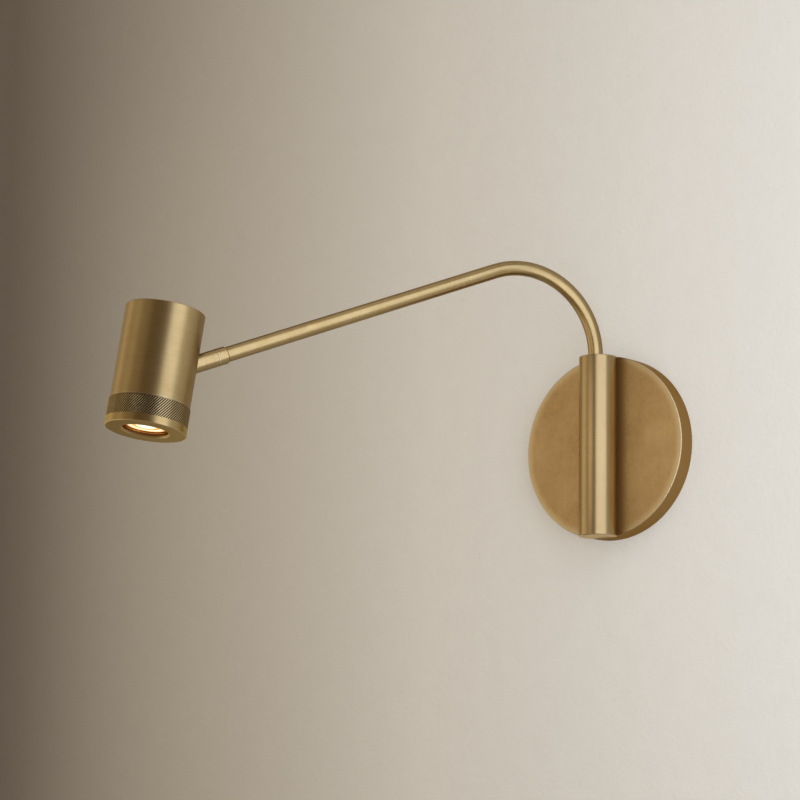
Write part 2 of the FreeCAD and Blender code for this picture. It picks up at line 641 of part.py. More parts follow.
sink_top = nose_step
sink_screw_level = barrel_end + size.sink_screw_diameter / 2 + size.running_clearance
stop_pin_level = ring_start + size.ring_stop_place
seal_level = ring_start + size.seal_place
clip_level = ring_start + size.clip_place
stub_hole = cylinder(size.collar_diameter, size.stub_to_head)
groove_cut = 2 * size.head_wall + nose_diameter
seal_groove = ring(groove_cut, nose_diameter - 2 * size.seal_section, size.seal_section,
                   seal_level - size.seal_section / 2)
clip_groove = ring(groove_cut, clip_inner, size.clip_thickness + fit_gap,
                   clip_level - size.running_clearance)
pin_reach = nose_diameter / 2 + size.ring_groove_depth - size.open_clearance
pin_hole = cylinder(size.ring_stop_diameter, pin_reach, z=stop_pin_level, turn=TO_WALL_X)


def around_axis(count, make, first=0.0):
    """Copies of one solid at even turns about the Z axis."""
    copies = []
    for step in range(count):
        copy = make()
        turn = Rotation(Vector(0, 0, 1), first + 360.0 * step / count)
        copies.append(group([copy]))
        copies[-1].Placement = Placement(Vector(), turn)
    return copies


sink_screw_out = nose_diameter / 2 - 2 * size.running_clearance


def sink_screw():
    return cylinder(size.sink_screw_diameter, size.sink_screw_length,
                    sink_screw_out - size.sink_screw_length, 0, sink_screw_level, TO_WALL_X)


def sink_screw_hole():
    return cylinder(size.sink_screw_diameter, size.nose_wall + size.sink_screw_length,
                    sink_screw_out - size.sink_screw_length, 0, sink_screw_level, TO_WALL_X)


keep("head_housing", cut(barrel, oblique(stub_hole, SWIVEL, HEAD), seal_groove, clip_groove,
                         pin_hole, *around_axis(3, sink_screw_hole, 60.0)), HEAD)

socket_blank = cylinder(size.socket_diameter, socket_face)
inside_head = cylinder(head_inner, size.head_length)
socket_seat = common(socket_blank, oblique(inside_head, HEAD, SWIVEL))
keep("stub_socket", cut(socket_seat, cylinder(size.collar_diameter, shoulder),
                        cylinder(size.spigot_diameter, size.stub_to_head)), SWIVEL)
keep("stub_nut", cut(hexagon(size.stub_nut_flats, size.stub_nut_thickness, socket_face),
                     cylinder(size.spigot_diameter, size.stub_nut_thickness, z=socket_face)), SWIVEL)

# Heat sink: a base in the nose with straight fins behind it, and a hole for the lead.
sink_diameter = nose_inner - fit_gap
fin_start = sink_top - size.sink_fin_length
fins = []
fin_count = int(float(nose_diameter) / SIZES["sink_fin_pitch"] / 2)
for number in range(fin_count):
    for side in (-1, 1):
        fins.append(block(sink_diameter, size.sink_fin_thickness, size.sink_fin_length,
                          y=side * (number + 0.5) * size.sink_fin_pitch, z=fin_start))
fin_set = common(fuse(*fins), cylinder(sink_diameter, size.sink_fin_length, z=fin_start))
sink_blank = fuse(cylinder(sink_diameter, size.sink_base, z=sink_top), fin_set)
lead_radius_in_head = size.head_lead_corner * oblique_share
lead_bore = cylinder(size.lead_hole, size.head_length, x=-lead_radius_in_head)
keep("heat_sink", cut(sink_blank, lead_bore, *around_axis(3, sink_screw, 60.0)), HEAD)
keep("sink_screws", group(around_axis(3, sink_screw, 60.0)), HEAD)

# Light source: board, chip, holder and lens, stacked on the sink.
board_back = sink_top + size.sink_base
board_front = board_back + size.led_board_thickness
lens_front = size.head_length - size.lens_recess
lens_back = lens_front - size.lens_depth
keep("led_board", cylinder(size.led_board_diameter, size.led_board_thickness, z=board_back), HEAD)
keep("led_chip", cylinder(size.led_chip_diameter, size.led_chip_thickness, z=board_front), HEAD)
holder_inner = size.lens_diameter + fit_gap
holder_outer = holder_inner + 2 * size.holder_wall
keep("lens_holder", ring(holder_outer, holder_inner, lens_front - board_front, board_front), HEAD)
groove_outer = size.lens_core + 2 * size.lens_groove
keep("optic_lens", turned([
    (0, lens_back), (size.lens_core, lens_back), (size.lens_diameter, lens_front - size.lens_groove),
    (size.lens_diameter, lens_front), (groove_outer, lens_front),
    (groove_outer, lens_front - size.lens_groove), (size.lens_core, lens_front - size.lens_groove),
    (size.lens_core, lens_front), (0, lens_front)]), HEAD)

# Dimmer: a printed board on the nose and a wiper carried round by the ring.
dimmer_inner = holder_outer + 2 * size.dimmer_gap
keep("dimmer_board", ring(nose_diameter - fit_gap, dimmer_inner, size.dimmer_board,
                          nose_end), HEAD)
front_wall_back = size.head_length - size.ring_front_wall
wiper_back = front_wall_back - size.wiper_thickness
wiper_ring = ring(nose_diameter, dimmer_inner + 2 * size.open_clearance,
                  size.wiper_thickness, wiper_back)
contact_top = nose_end + size.dimmer_board + size.open_clearance
contact_radius = (nose_diameter + dimmer_inner) / 4


def contact():
    return cylinder(size.ring_stop_diameter, wiper_back - contact_top, contact_radius, 0, contact_top)


keep("dimmer_wiper", fuse(wiper_ring, *around_axis(2, contact)), HEAD)

seal = document.addObject("Part::Torus", "Torus")
bind(seal, Radius1=(nose_diameter - size.seal_section) / 2, Radius2=size.seal_section / 2)
keep("friction_seal", group([place(seal, z=seal_level)]), HEAD)

clip_opening = 20.0
clip = cut(cylinder(clip_outer, size.clip_thickness, z=clip_level, angle=360.0 - clip_opening),
           cylinder(clip_inner, size.clip_thickness, z=clip_level))
keep("retaining_clip", clip, HEAD)

keep("ring_stop_pin", cut(cylinder(size.ring_stop_diameter, pin_reach, z=stop_pin_level,
                                   turn=TO_WALL_X),
                          cylinder(nose_inner, size.head_length)), HEAD)

# ---------------------------------------------------------------- knurled ring
ring_bore = nose_diameter + fit_gap
inner_aperture = size.aperture_diameter - 2 * size.aperture_bevel
ring_blank = turned([
    (ring_bore, ring_start), (ring_diameter - size.ring_edge, ring_start),
    (ring_diameter, ring_start + size.ring_edge / 2),
    (ring_diameter, size.head_length - size.ring_edge),
    (ring_diameter - 2 * size.ring_edge, size.head_length),
    (size.aperture_diameter, size.head_length),
    (inner_aperture, size.head_length - size.aperture_bevel), (inner_aperture, front_wall_back),
    (ring_bore, front_wall_back)])
groove_floor = nose_diameter + 2 * size.ring_groove_depth
clip_track = cylinder(groove_floor, size.clip_thickness + 2 * size.open_clearance,
                      z=clip_level - size.open_clearance)
pin_angle = math.degrees(math.asin(SIZES["ring_stop_diameter"] / float(nose_diameter)))
stop_track = cylinder(
    groove_floor, size.ring_stop_diameter + 2 * size.open_clearance,
    z=stop_pin_level - size.ring_stop_diameter / 2 - size.open_clearance,
    turn=Rotation(Vector(0, 0, 1), -pin_angle - spare_degree),
    angle=SIZES["ring_turn"] + 2 * (pin_angle + spare_degree))
keep("knurled_ring", cut(ring_blank, clip_track, stop_track), HEAD)

# ---------------------------------------------------------------- internal leads
lead_level = float(terminal_level)
driver_side = -float(driver_centre) + SIZES["driver_width"] / 2
terminal_side = float(terminal_centre) - SIZES["terminal_width"] / 2
supply_height = SIZES["terminal_height"] / 3
driver_outlet = driver_side - SIZES["lead_inset"]
terminal_outer = float(terminal_centre) + SIZES["terminal_width"] / 2
supply_top = SIZES["earth_rise"] + SIZES["lead_inset"]
supply_route = [Vector(driver_outlet, SIZES["driver_height"] / 2, lead_level),
                Vector(driver_outlet, supply_top, lead_level),
                Vector(terminal_side, supply_top, lead_level),
                Vector(terminal_outer + SIZES["lead_inset"], SIZES["terminal_height"], lead_level),
                Vector(terminal_outer + SIZES["lead_inset"], supply_height, lead_level),
                Vector(terminal_outer, supply_height, lead_level)]
lead("supply_lead", supply_route, SIZES["lead_bend"], OUTWARD)

entry_level = float(lead_entry)
lead_joint = float(insert_end) - SIZES["lead_joint_drop"]
column_route = [Vector(driver_outlet, -SIZES["driver_height"] / 2, lead_level),
                Vector(driver_outlet, entry_level, lead_level), Vector(0, entry_level, lead_level),
                Vector(0, entry_level, float(stem_axis)), Vector(0, lead_joint, float(stem_axis))]
lead("column_lead", column_route, SIZES["lead_bend"], OUTWARD)

to_corner = SIZES["bend_radius"] * math.tan(bend_turn / 2)
arm_corner = Vector(0, 0, float(column_top) + to_corner)
arm_route = [Vector(0, 0, lead_joint), arm_corner, ARM.inverse().multVec(joint_point)]
lead("arm_lead", arm_route, SIZES["bend_radius"], ARM)

head_corner = stub_crossing - arm_direction * SIZES["head_lead_corner"]
down_beam = float(board_back) - SIZES["stub_height"]
lead_foot = head_corner + beam * (down_beam + SIZES["head_lead_corner"] * math.cos(
    math.radians(SIZES["head_angle"])))
lead("head_lead", [joint_point, head_corner, lead_foot], SIZES["head_lead_bend"])

# ---------------------------------------------------------------- checks and files
document.recompute()
for thing in document.Objects:
    if "Invalid" in thing.State or "Error" in thing.State:
        raise RuntimeError(f"{thing.Name} ({thing.Label}) failed: {thing.State}")
os.makedirs("parts", exist_ok=True)
for part in sub_parts:
    if part.Shape.isNull() or not part.Shape.isValid() or not part.Shape.Solids:
        raise RuntimeError(f"{part.Label} has no valid solid")
for part in sub_parts:
    part.Shape.exportStep(f"parts/{part.Label}.step")
    print(f"{part.Label}: {len(part.Shape.Solids)} solid(s), {part.Shape.Volume:.1f} mm3")

axis_text = {"arm_swing": (ARM.Base, Vector(0, 0, 1)), "head_swivel": (joint_point, arm_direction),
             "ring_turn": (stub_crossing, beam)}
for joint, (point, heading) in axis_text.items():
    print(joint, [round(value / 1000, 6) for value in point], [round(value, 6) for value in heading])
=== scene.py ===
# %% [markdown]
# # A brass wall reading lamp
# The lamp is a round back plate on the wall, an upright column, a bent tube that swings
# and a spot head.
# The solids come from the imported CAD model, which is loaded as a fixed frame in metres.
# +X runs right along the wall, +Y into the wall and +Z up, and the plate's centre is the origin.
# What is left to make here is the finish of every piece, the knurl, the small screws
# and the glowing lens.

# %% Load the frame
import json
import math

import bmesh
import bpy
from mathutils import Matrix, Vector


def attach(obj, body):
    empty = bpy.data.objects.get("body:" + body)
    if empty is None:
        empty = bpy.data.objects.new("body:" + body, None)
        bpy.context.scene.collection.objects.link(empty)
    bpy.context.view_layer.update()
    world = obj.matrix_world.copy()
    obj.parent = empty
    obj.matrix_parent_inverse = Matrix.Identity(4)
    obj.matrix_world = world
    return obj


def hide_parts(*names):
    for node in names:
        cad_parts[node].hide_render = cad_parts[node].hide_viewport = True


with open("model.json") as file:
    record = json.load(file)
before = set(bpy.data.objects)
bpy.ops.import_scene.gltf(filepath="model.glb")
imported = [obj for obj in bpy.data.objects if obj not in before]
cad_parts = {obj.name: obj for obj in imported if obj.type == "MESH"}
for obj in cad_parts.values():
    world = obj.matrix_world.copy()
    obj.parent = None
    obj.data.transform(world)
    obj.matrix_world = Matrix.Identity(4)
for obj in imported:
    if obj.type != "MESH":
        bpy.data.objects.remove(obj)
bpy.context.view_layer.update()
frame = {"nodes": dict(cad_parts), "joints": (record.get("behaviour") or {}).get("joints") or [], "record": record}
nodes = frame["nodes"]
joints = {joint["name"]: joint for joint in frame["joints"]}

MM = 0.001

# %% [markdown]
# ## Where the head is
# The head hangs at a slant, so its pieces are easier to make upright and then set in place.
# Its joint gives the middle line and the place where the arm's line crosses it.
# The frame made here has its origin at the middle of the closed top and its Z down the beam.

# %% The head's own frame
HEAD_TOP_TO_ARM = 42.9 * MM
COLUMN_AXIS_OUT = 0.0194

beam = Vector(joints["ring_turn"]["axis"]).normalized()
arm_line = Vector(joints["head_swivel"]["axis"]).normalized()
away = (arm_line - beam * arm_line.dot(beam)).normalized()
head_origin = Vector(joints["ring_turn"]["pos_m"]) - beam * HEAD_TOP_TO_ARM


def frame_matrix(origin, x_axis, z_axis):
    """A placement from its origin, its X and its Z."""
    y_axis = z_axis.cross(x_axis)
    turned = Matrix((x_axis, y_axis, z_axis)).transposed().to_4x4()
    return Matrix.Translation(origin) @ turned


UPRIGHT = Matrix.Identity(4)
IN_HEAD = frame_matrix(head_origin, away, beam)
ACROSS = Vector((0.0, 0.0, 1.0)).cross(arm_line).normalized()
ON_ARM = frame_matrix(Vector(joints["head_swivel"]["pos_m"]), ACROSS, arm_line)
IN_COLUMN = Matrix.Translation(Vector((0.0, -COLUMN_AXIS_OUT, 0.0)))
print("head:", [round(value, 4) for value in head_origin],
      "beam:", [round(value, 3) for value in beam])

# %% [markdown]
# ## The camera
# The photograph was taken from the right, a little below the lamp, with a long lens.
# Points measured on the lamp's outline give the camera's place, aim and lens.
# The place is written as an angle round the lamp and a distance, and the aim as three small turns.

# %% The camera
CAMERA_DISTANCE = 2.2
CAMERA_ROUND, CAMERA_BELOW = math.radians(33.078), math.radians(8.869)
CAMERA_PAN, CAMERA_TILT, CAMERA_ROLL = math.radians(3.719), math.radians(9.695), math.radians(0.708)
FOCAL_PIXELS, PICTURE_PIXELS, SENSOR = 3346.5, 800, 36.0


def camera_axes():
    """The camera's right, up and forward directions."""
    yaw = CAMERA_ROUND + CAMERA_PAN
    forward = Vector((-math.sin(yaw) * math.cos(CAMERA_TILT),
                      math.cos(yaw) * math.cos(CAMERA_TILT), math.sin(CAMERA_TILT)))
    level = Vector((math.cos(yaw), math.sin(yaw), 0.0))
    upward = level.cross(forward)
    right = level * math.cos(CAMERA_ROLL) + upward * math.sin(CAMERA_ROLL)
    up = upward * math.cos(CAMERA_ROLL) - level * math.sin(CAMERA_ROLL)
    return right, up, forward


right, up, forward = camera_axes()
camera = bpy.data.objects.new("camera", bpy.data.cameras.new("camera"))
bpy.context.scene.collection.objects.link(camera)
camera.data.sensor_width = SENSOR
camera.data.lens = FOCAL_PIXELS / PICTURE_PIXELS * SENSOR
camera.data.clip_start, camera.data.clip_end = 0.05, 50.0
spot = CAMERA_DISTANCE * Vector((math.sin(CAMERA_ROUND) * math.cos(CAMERA_BELOW),
                                 -math.cos(CAMERA_ROUND) * math.cos(CAMERA_BELOW),
                                 -math.sin(CAMERA_BELOW)))
turned = Matrix((right, up, -forward)).transposed().to_4x4()
camera.matrix_world = Matrix.Translation(spot) @ turned
bpy.context.scene.camera = camera
bpy.context.scene.view_settings.view_transform = "Standard"
print("camera: lens", round(camera.data.lens, 1), "mm")

# %% [markdown]
# ## Small tools for shader trees
# A shader is a tree of nodes. These helpers add a node with its inputs filled in one line, make a
# colour ramp, and start or use a group: a small tree with named sockets that materials share.

# %% Tree tools
def add(tree, kind, inputs=None, **settings):
    """Add a node; an input takes a value or another node's socket."""
    made = tree.nodes.new(kind)
    for name, value in settings.items():
        setattr(made, name, value)
    for name, value in (inputs or {}).items():
        if isinstance(value, bpy.types.NodeSocket):
            tree.links.new(value, made.inputs[name])
        else:
            made.inputs[name].default_value = value
    return made


def math_node(tree, operation, first, second=0.0, clamp=False):
    return add(tree, "ShaderNodeMath", {0: first, 1: second}, operation=operation,
               use_clamp=clamp).outputs[0]


def vector_node(tree, operation, first, second=(0.0, 0.0, 0.0)):
    return add(tree, "ShaderNodeVectorMath", {0: first, 1: second}, operation=operation)


def mix_colour(tree, share, first, second):
    """Inputs 6 and 7 and output 2 of the node are the ones for colours."""
    return add(tree, "ShaderNodeMix", {0: share, 6: first, 7: second}, data_type="RGBA").outputs[2]


def colour_ramp(tree, share, marks):
    """A ramp through marks of (place, colour); a new ramp already has two."""
    ramp = add(tree, "ShaderNodeValToRGB", {"Fac": share})
    elements = ramp.color_ramp.elements
    for index, (at, colour) in enumerate(marks):
        mark = elements[index] if index < 2 else elements.new(at)
        mark.position, mark.color = at, colour
    return ramp.outputs["Color"]


def new_group(name, inputs, outputs):
    """A shader group with named sockets, and its two ends."""
    tree = bpy.data.node_groups.new(name, "ShaderNodeTree")
    for label, (kind, value) in inputs.items():
        socket = tree.interface.new_socket(label, in_out="INPUT", socket_type="NodeSocket" + kind)
        socket.default_value = value
    for label, kind in outputs.items():
        tree.interface.new_socket(label, in_out="OUTPUT", socket_type="NodeSocket" + kind)
    return tree, tree.nodes.new("NodeGroupInput").outputs, tree.nodes.new("NodeGroupOutput").inputs


def use_group(tree, group, inputs):
    return add(tree, "ShaderNodeGroup", inputs, node_tree=group).outputs


print("helpers: nodes, sums, mixes, ramps and groups")

# %% [markdown]
# ## Effects that the finishes share
# *Patina* is the cloudy light and dark of metal that has aged: two noises of different size pick a
# colour between three tones and move the roughness with it.
# *Brush marks* are the fine lines that a belt leaves. The noise is squeezed along one direction,
# so its spots become lines. They go to the bump's height and a little to the colour.
# *Wear and lighting band* is a mask that is 1 within a small width of a place and fades out raggedly.
# It marks worn edges, and also bands of painted shade and painted light.

# %% Patina
SPECK_SHARE, SPECKS_FINER, CLOUD_GAIN = 0.35, 7.0, 3.0


def build_patina():
    tree, given, out = new_group(
        "patina",
        {"Vector": ("Vector", (0, 0, 0)), "Cloud Size": ("Float", 0.012), "Contrast": ("Float", 1.0),
         "Pale": ("Color", (1, 1, 1, 1)), "Middle": ("Color", (0.5, 0.5, 0.5, 1)),
         "Dark": ("Color", (0, 0, 0, 1)), "Smoothest": ("Float", 0.25), "Roughest": ("Float", 0.45)},
        {"Color": "Color", "Roughness": "Float"})
    scale = math_node(tree, "DIVIDE", 1.0, given["Cloud Size"])
    clouds = add(tree, "ShaderNodeTexNoise", {"Vector": given["Vector"], "Scale": scale,
                                              "Detail": 4.0, "Roughness": 0.6})
    fine_scale = math_node(tree, "MULTIPLY", scale, SPECKS_FINER)
    specks = add(tree, "ShaderNodeTexNoise", {"Vector": given["Vector"], "Scale": fine_scale,
                                              "Detail": 3.0, "Roughness": 0.65})
    blend = math_node(tree, "MULTIPLY_ADD", specks.outputs["Fac"], SPECK_SHARE)
    tree.links.new(math_node(tree, "MULTIPLY", clouds.outputs["Fac"], 1 - SPECK_SHARE),
                   blend.node.inputs[2])
    centred = math_node(tree, "SUBTRACT", blend, 0.5)
    spread = math_node(tree, "MULTIPLY", centred, given["Contrast"])
    share = math_node(tree, "ADD", math_node(tree, "MULTIPLY", spread, CLOUD_GAIN), 0.5, clamp=True)
    lower = math_node(tree, "MULTIPLY", share, 2.0, clamp=True)
    upper = math_node(tree, "MULTIPLY", math_node(tree, "SUBTRACT", share, 0.5), 2.0, clamp=True)
    colour = mix_colour(tree, upper, mix_colour(tree, lower, given["Dark"], given["Middle"]),
                        given["Pale"])
    tree.links.new(colour, out["Color"])
    rough = add(tree, "ShaderNodeMapRange", {"Value": share, "To Min": given["Roughest"],
                                             "To Max": given["Smoothest"]})
    tree.links.new(rough.outputs[0], out["Roughness"])
    return tree


patina = build_patina()
print("group:", patina.name)


# %% Brush marks
BROAD_SHARE = 0.3


def build_brush_marks():
    tree, given, out = new_group(
        "brush_marks",
        {"Vector": ("Vector", (0, 0, 0)), "Stretch": ("Vector", (100, 100, 3000))},
        {"Height": "Float", "Streak": "Float"})
    squeezed = vector_node(tree, "MULTIPLY", given["Vector"], given["Stretch"]).outputs[0]
    lines = add(tree, "ShaderNodeTexNoise", {"Vector": squeezed, "Scale": 1.0, "Detail": 5.0,
                                             "Roughness": 0.7})
    broad = vector_node(tree, "MULTIPLY", squeezed, (BROAD_SHARE,) * 3).outputs[0]
    bands = add(tree, "ShaderNodeTexNoise", {"Vector": broad, "Scale": 1.0, "Detail": 2.0})
    tree.links.new(lines.outputs["Fac"], out["Height"])
    both = math_node(tree, "ADD", lines.outputs["Fac"], bands.outputs["Fac"])
    tree.links.new(math_node(tree, "MULTIPLY", both, 0.5), out["Streak"])
    return tree


brush_marks = build_brush_marks()
print("group:", brush_marks.name)


# %% Wear and lighting band
RAGGED_SCALE = 900.0


def build_wear_and_lighting_band():
    tree, given, out = new_group(
        "worn_edge",
        {"Vector": ("Vector", (0, 0, 0)), "Distance": ("Float", 1.0), "Width": ("Float", 0.001)},
        {"Mask": "Float"})
    ragged = add(tree, "ShaderNodeTexNoise", {"Vector": given["Vector"], "Scale": RAGGED_SCALE,
                                              "Detail": 3.0})
    uneven = math_node(tree, "MULTIPLY", given["Width"],
                       math_node(tree, "ADD", ragged.outputs["Fac"], 0.5))
    mask = add(tree, "ShaderNodeMapRange", {"Value": given["Distance"], "From Min": 0.0,
                                            "From Max": uneven, "To Min": 1.0, "To Max": 0.0},
               interpolation_type="SMOOTHSTEP")
    tree.links.new(mask.outputs[0], out["Mask"])
    return tree


worn_edge = build_wear_and_lighting_band()
print("group:", worn_edge.name)

# %% [markdown]
# ## Finding a place on a piece
# A pattern has to sit on its piece, also where the piece is slanted.
# A Mapping node turns the object's coordinates into the piece's own frame, and from there
# the distance from the middle line and the height along it are plain arithmetic.

# %% Coordinates on a piece
def own_coordinates(tree, place):
    """The object's coordinates, seen from a piece's own frame."""
    inverse = place.inverted()
    turn = inverse.to_euler("XYZ")
    source = add(tree, "ShaderNodeTexCoord").outputs["Object"]
    return add(tree, "ShaderNodeMapping", {"Vector": source, "Location": inverse.to_translation(),
                                           "Rotation": turn}).outputs[0]


def measures(tree, own):
    """The height along Z, the distance from the Z axis and the distance from the YZ plane."""
    parts = add(tree, "ShaderNodeSeparateXYZ", {0: own})
    flat = vector_node(tree, "MULTIPLY", own, (1.0, 1.0, 0.0)).outputs[0]
    return {"along": parts.outputs["Z"], "out": vector_node(tree, "LENGTH", flat).outputs["Value"],
            "aside": math_node(tree, "ABSOLUTE", parts.outputs["X"])}


print("measures on a piece: along, out and aside")

# %% [markdown]
# ## Aged brass
# The lamp's outside is brass that was brushed, darkened and given a thin matt lacquer.
# It is a metal, so its colour is the colour of its reflections, and the lacquer is a weak coat.
# Each piece has its own way of brushing and its own depth of colour, so one function makes them all
# from the shared effects, with the piece's frame, the brush's direction, the edges that are worn,
# and the bands of painted shade and painted light.

# %% Aged brass
PALE_BRASS = (0.39, 0.295, 0.145, 1.0)
MID_BRASS = (0.33, 0.236, 0.10, 1.0)
DARK_BRASS = (0.22, 0.143, 0.048, 1.0)
WORN_BRASS = (0.50, 0.40, 0.25, 1.0)
EDGE_TINT = (0.55, 0.45, 0.33, 1.0)
FACE_TINT = (1.0, 0.82, 0.45, 1.0)
TARNISH = (0.02, 0.014, 0.007, 1.0)
STREAK_DEPTH, STREAK_BASE = 0.9, 0.12


def principled(name, constants):
    """A new material with its fixed values on the shader's own sockets."""
    made = bpy.data.materials.new(name)
    made.use_nodes = True
    shader = made.node_tree.nodes["Principled BSDF"]
    for socket, value in constants.items():
        shader.inputs[socket].default_value = value
    return made, made.node_tree, shader


def aged_brass(name, place, stretch, cloud_size, contrast, smooth=0.24, rough=0.40,
               tones=(PALE_BRASS, MID_BRASS, DARK_BRASS), marks=0.00002, bands=(), hollow=None,
               side=None, glancing=EDGE_TINT, coat=0.4):
    """Brushed and aged brass.

    Each band is (what is measured, its place in metres, its width, its colour), where "along" is the
    height on the middle line, "out" the distance from it and "aside" the distance from the YZ plane.
    A hollow is (deepest, highest) distance from the middle line, and darkens towards the deepest.
    A side is (distance from the middle line, colour), for the wall of a turned piece beyond it.
    Glancing is the tint that the metal takes where it is seen at a flat angle.
    """
    made, tree, shader = principled(name, {"Metallic": 1.0, "Coat Weight": coat,
                                           "Coat Roughness": 0.3, "Coat IOR": 1.5,
                                           "Specular Tint": glancing})
    own = own_coordinates(tree, place)
    brushed = use_group(tree, brush_marks, {"Vector": own, "Stretch": stretch})
    aged = use_group(tree, patina, {"Vector": own, "Cloud Size": cloud_size, "Contrast": contrast,
                                    "Pale": tones[0], "Middle": tones[1], "Dark": tones[2],
                                    "Smoothest": smooth, "Roughest": rough})
    streak = math_node(tree, "MULTIPLY", math_node(tree, "SUBTRACT", brushed["Streak"], 0.5),
                       STREAK_DEPTH)
    darker = math_node(tree, "ADD", streak, STREAK_BASE, clamp=True)
    colour = mix_colour(tree, darker, aged["Color"], tones[2])
    measured = measures(tree, own)
    for which, middle, width, band_colour in bands:
        distance = math_node(tree, "ABSOLUTE", math_node(tree, "SUBTRACT", measured[which], middle))
        mask = use_group(tree, worn_edge, {"Vector": own, "Distance": distance, "Width": width})
        colour = mix_colour(tree, mask["Mask"], colour, band_colour)
    if side:
        beyond = math_node(tree, "GREATER_THAN", measured["out"], side[0])
        colour = mix_colour(tree, beyond, colour, side[1])
        weight = math_node(tree, "MULTIPLY", math_node(tree, "SUBTRACT", 1.0, beyond), coat)
        tree.links.new(weight, shader.inputs["Coat Weight"])
    if hollow:
        depth = add(tree, "ShaderNodeMapRange", {"Value": measured["out"], "From Min": hollow[0],
                                                 "From Max": hollow[1]})
        colour = mix_colour(tree, depth.outputs[0], TARNISH, colour)
    tree.links.new(colour, shader.inputs["Base Color"])
    tree.links.new(aged["Roughness"], shader.inputs["Roughness"])
    bump = add(tree, "ShaderNodeBump", {"Height": brushed["Height"], "Distance": marks,
                                        "Strength": 1.0})
    tree.links.new(bump.outputs[0], shader.inputs["Normal"])
    return made


ON_PLATE = frame_matrix(Vector(), Vector((1, 0, 0)), Vector((0, -1, 0)))
AROUND = (90.0, 90.0, 3200.0)
LENGTHWISE = (2600.0, 2600.0, 40.0)

PLATE_TONES = ((0.45, 0.315, 0.148, 1), (0.395, 0.26, 0.108, 1), (0.30, 0.182, 0.066, 1))
# The dark band on the plate, on both sides of the column, is painted shade: the column's shadow and reflection
# painted onto the plate.
PLATE_RIM, PLATE_COLUMN_SHADE = (0.50, 0.385, 0.20, 1.0), (0.17, 0.095, 0.03, 1.0)
# The plate's side, where it meets the wall, is painted darker than its face: painted shade.
PLATE_SIDE_SHADE = (0.36, 0.222, 0.088, 1.0)
COLUMN_TONES = ((0.36, 0.275, 0.135, 1), (0.315, 0.225, 0.10, 1), (0.24, 0.155, 0.06, 1))
# The recess round the lens is painted near black: painted shade inside the recess.
RECESS_SHADE_TONES = ((0.09, 0.045, 0.014, 1), (0.07, 0.033, 0.01, 1), (0.045, 0.02, 0.006, 1))
# The orange band on the recess wall next to the lens is painted light: the lens's glow painted onto the metal.
RECESS_PAINTED_GLOW = (0.78, 0.44, 0.14, 1.0)
TOOTH_TONES = ((0.41, 0.32, 0.19, 1), (0.34, 0.26, 0.13, 1), (0.23, 0.16, 0.065, 1))
RING_FACE = (0.60, 0.485, 0.29, 1.0)

# The plate gets a pale rim, a worn edge, painted shade beside the column and a side painted darker as shade.
brass_plate = aged_brass("aged_brass_plate", ON_PLATE, (1500.0, 260.0, 1500.0), cloud_size=0.02,
                         contrast=0.6, smooth=0.38, rough=0.5, tones=PLATE_TONES,
                         bands=(("out", 0.0596, 0.0055, PLATE_RIM),
                                ("out", 0.0596, 0.0009, WORN_BRASS),
                                ("aside", 0.0125, 0.009, PLATE_COLUMN_SHADE)),
                         side=(0.05975, PLATE_SIDE_SHADE))
brass_column = aged_brass("aged_brass_column", IN_COLUMN, LENGTHWISE, cloud_size=0.04, contrast=0.3,
                          smooth=0.25, rough=0.31, marks=0.000004, tones=COLUMN_TONES,
                          bands=(("along", 0.0588, 0.0008, WORN_BRASS),
                                 ("along", -0.0596, 0.0008, WORN_BRASS)), glancing=FACE_TINT)
brass_tube = aged_brass("aged_brass_tube", UPRIGHT, (500.0, 500.0, 500.0), cloud_size=0.03,
                        contrast=0.25, smooth=0.24, rough=0.32, marks=0.000002)
brass_swivel = aged_brass("aged_brass_swivel", ON_ARM, AROUND, cloud_size=0.02, contrast=0.3,
                          smooth=0.22, rough=0.3, marks=0.000006,
                          bands=(("along", 0.0, 0.0004, WORN_BRASS),
                                 ("along", -0.007, 0.0005, WORN_BRASS)))
brass_head = aged_brass("aged_brass_head", IN_HEAD, AROUND, cloud_size=0.04, contrast=0.3,
                        smooth=0.30, rough=0.37, marks=0.000016,
                        bands=(("along", 0.0, 0.0005, WORN_BRASS),
                               ("along", 0.0602, 0.0005, WORN_BRASS)))
brass_ring = aged_brass("aged_brass_ring", IN_HEAD, AROUND, cloud_size=0.02, contrast=0.3,
                        smooth=0.26, rough=0.34, marks=0.000012,
                        bands=(("along", 0.0777, 0.0005, RING_FACE),
                               ("along", 0.0606, 0.0003, WORN_BRASS)),
                        glancing=FACE_TINT, coat=0.15)
brass_shaded_recess = aged_brass("aged_brass_recess", IN_HEAD, (90.0, 90.0, 90.0), cloud_size=0.01,
                          contrast=0.3, tones=RECESS_SHADE_TONES,
                          bands=(("along", 0.0746, 0.0009, RECESS_PAINTED_GLOW),),
                          coat=0.1)
brass_knurl = aged_brass("aged_brass_knurl", IN_HEAD, (900.0, 900.0, 900.0), cloud_size=0.01,
                         contrast=0.4, smooth=0.28, rough=0.38, marks=0.000002, tones=TOOTH_TONES,
                         hollow=(0.02528, 0.02546), coat=0.1)
brasses = [made.name for made in bpy.data.materials if made.name.startswith("aged_brass")]
print("brass finishes:", len(brasses))

# %% [markdown]
# ## The hidden materials
# Behind the plate and inside the head are steel, aluminium, bronze, brass, plastic and rubber.
# They show from behind and when a piece is taken off, so each one gets grain at its own scale.

# %% Hidden materials
FINE_GRAIN = 0.00002


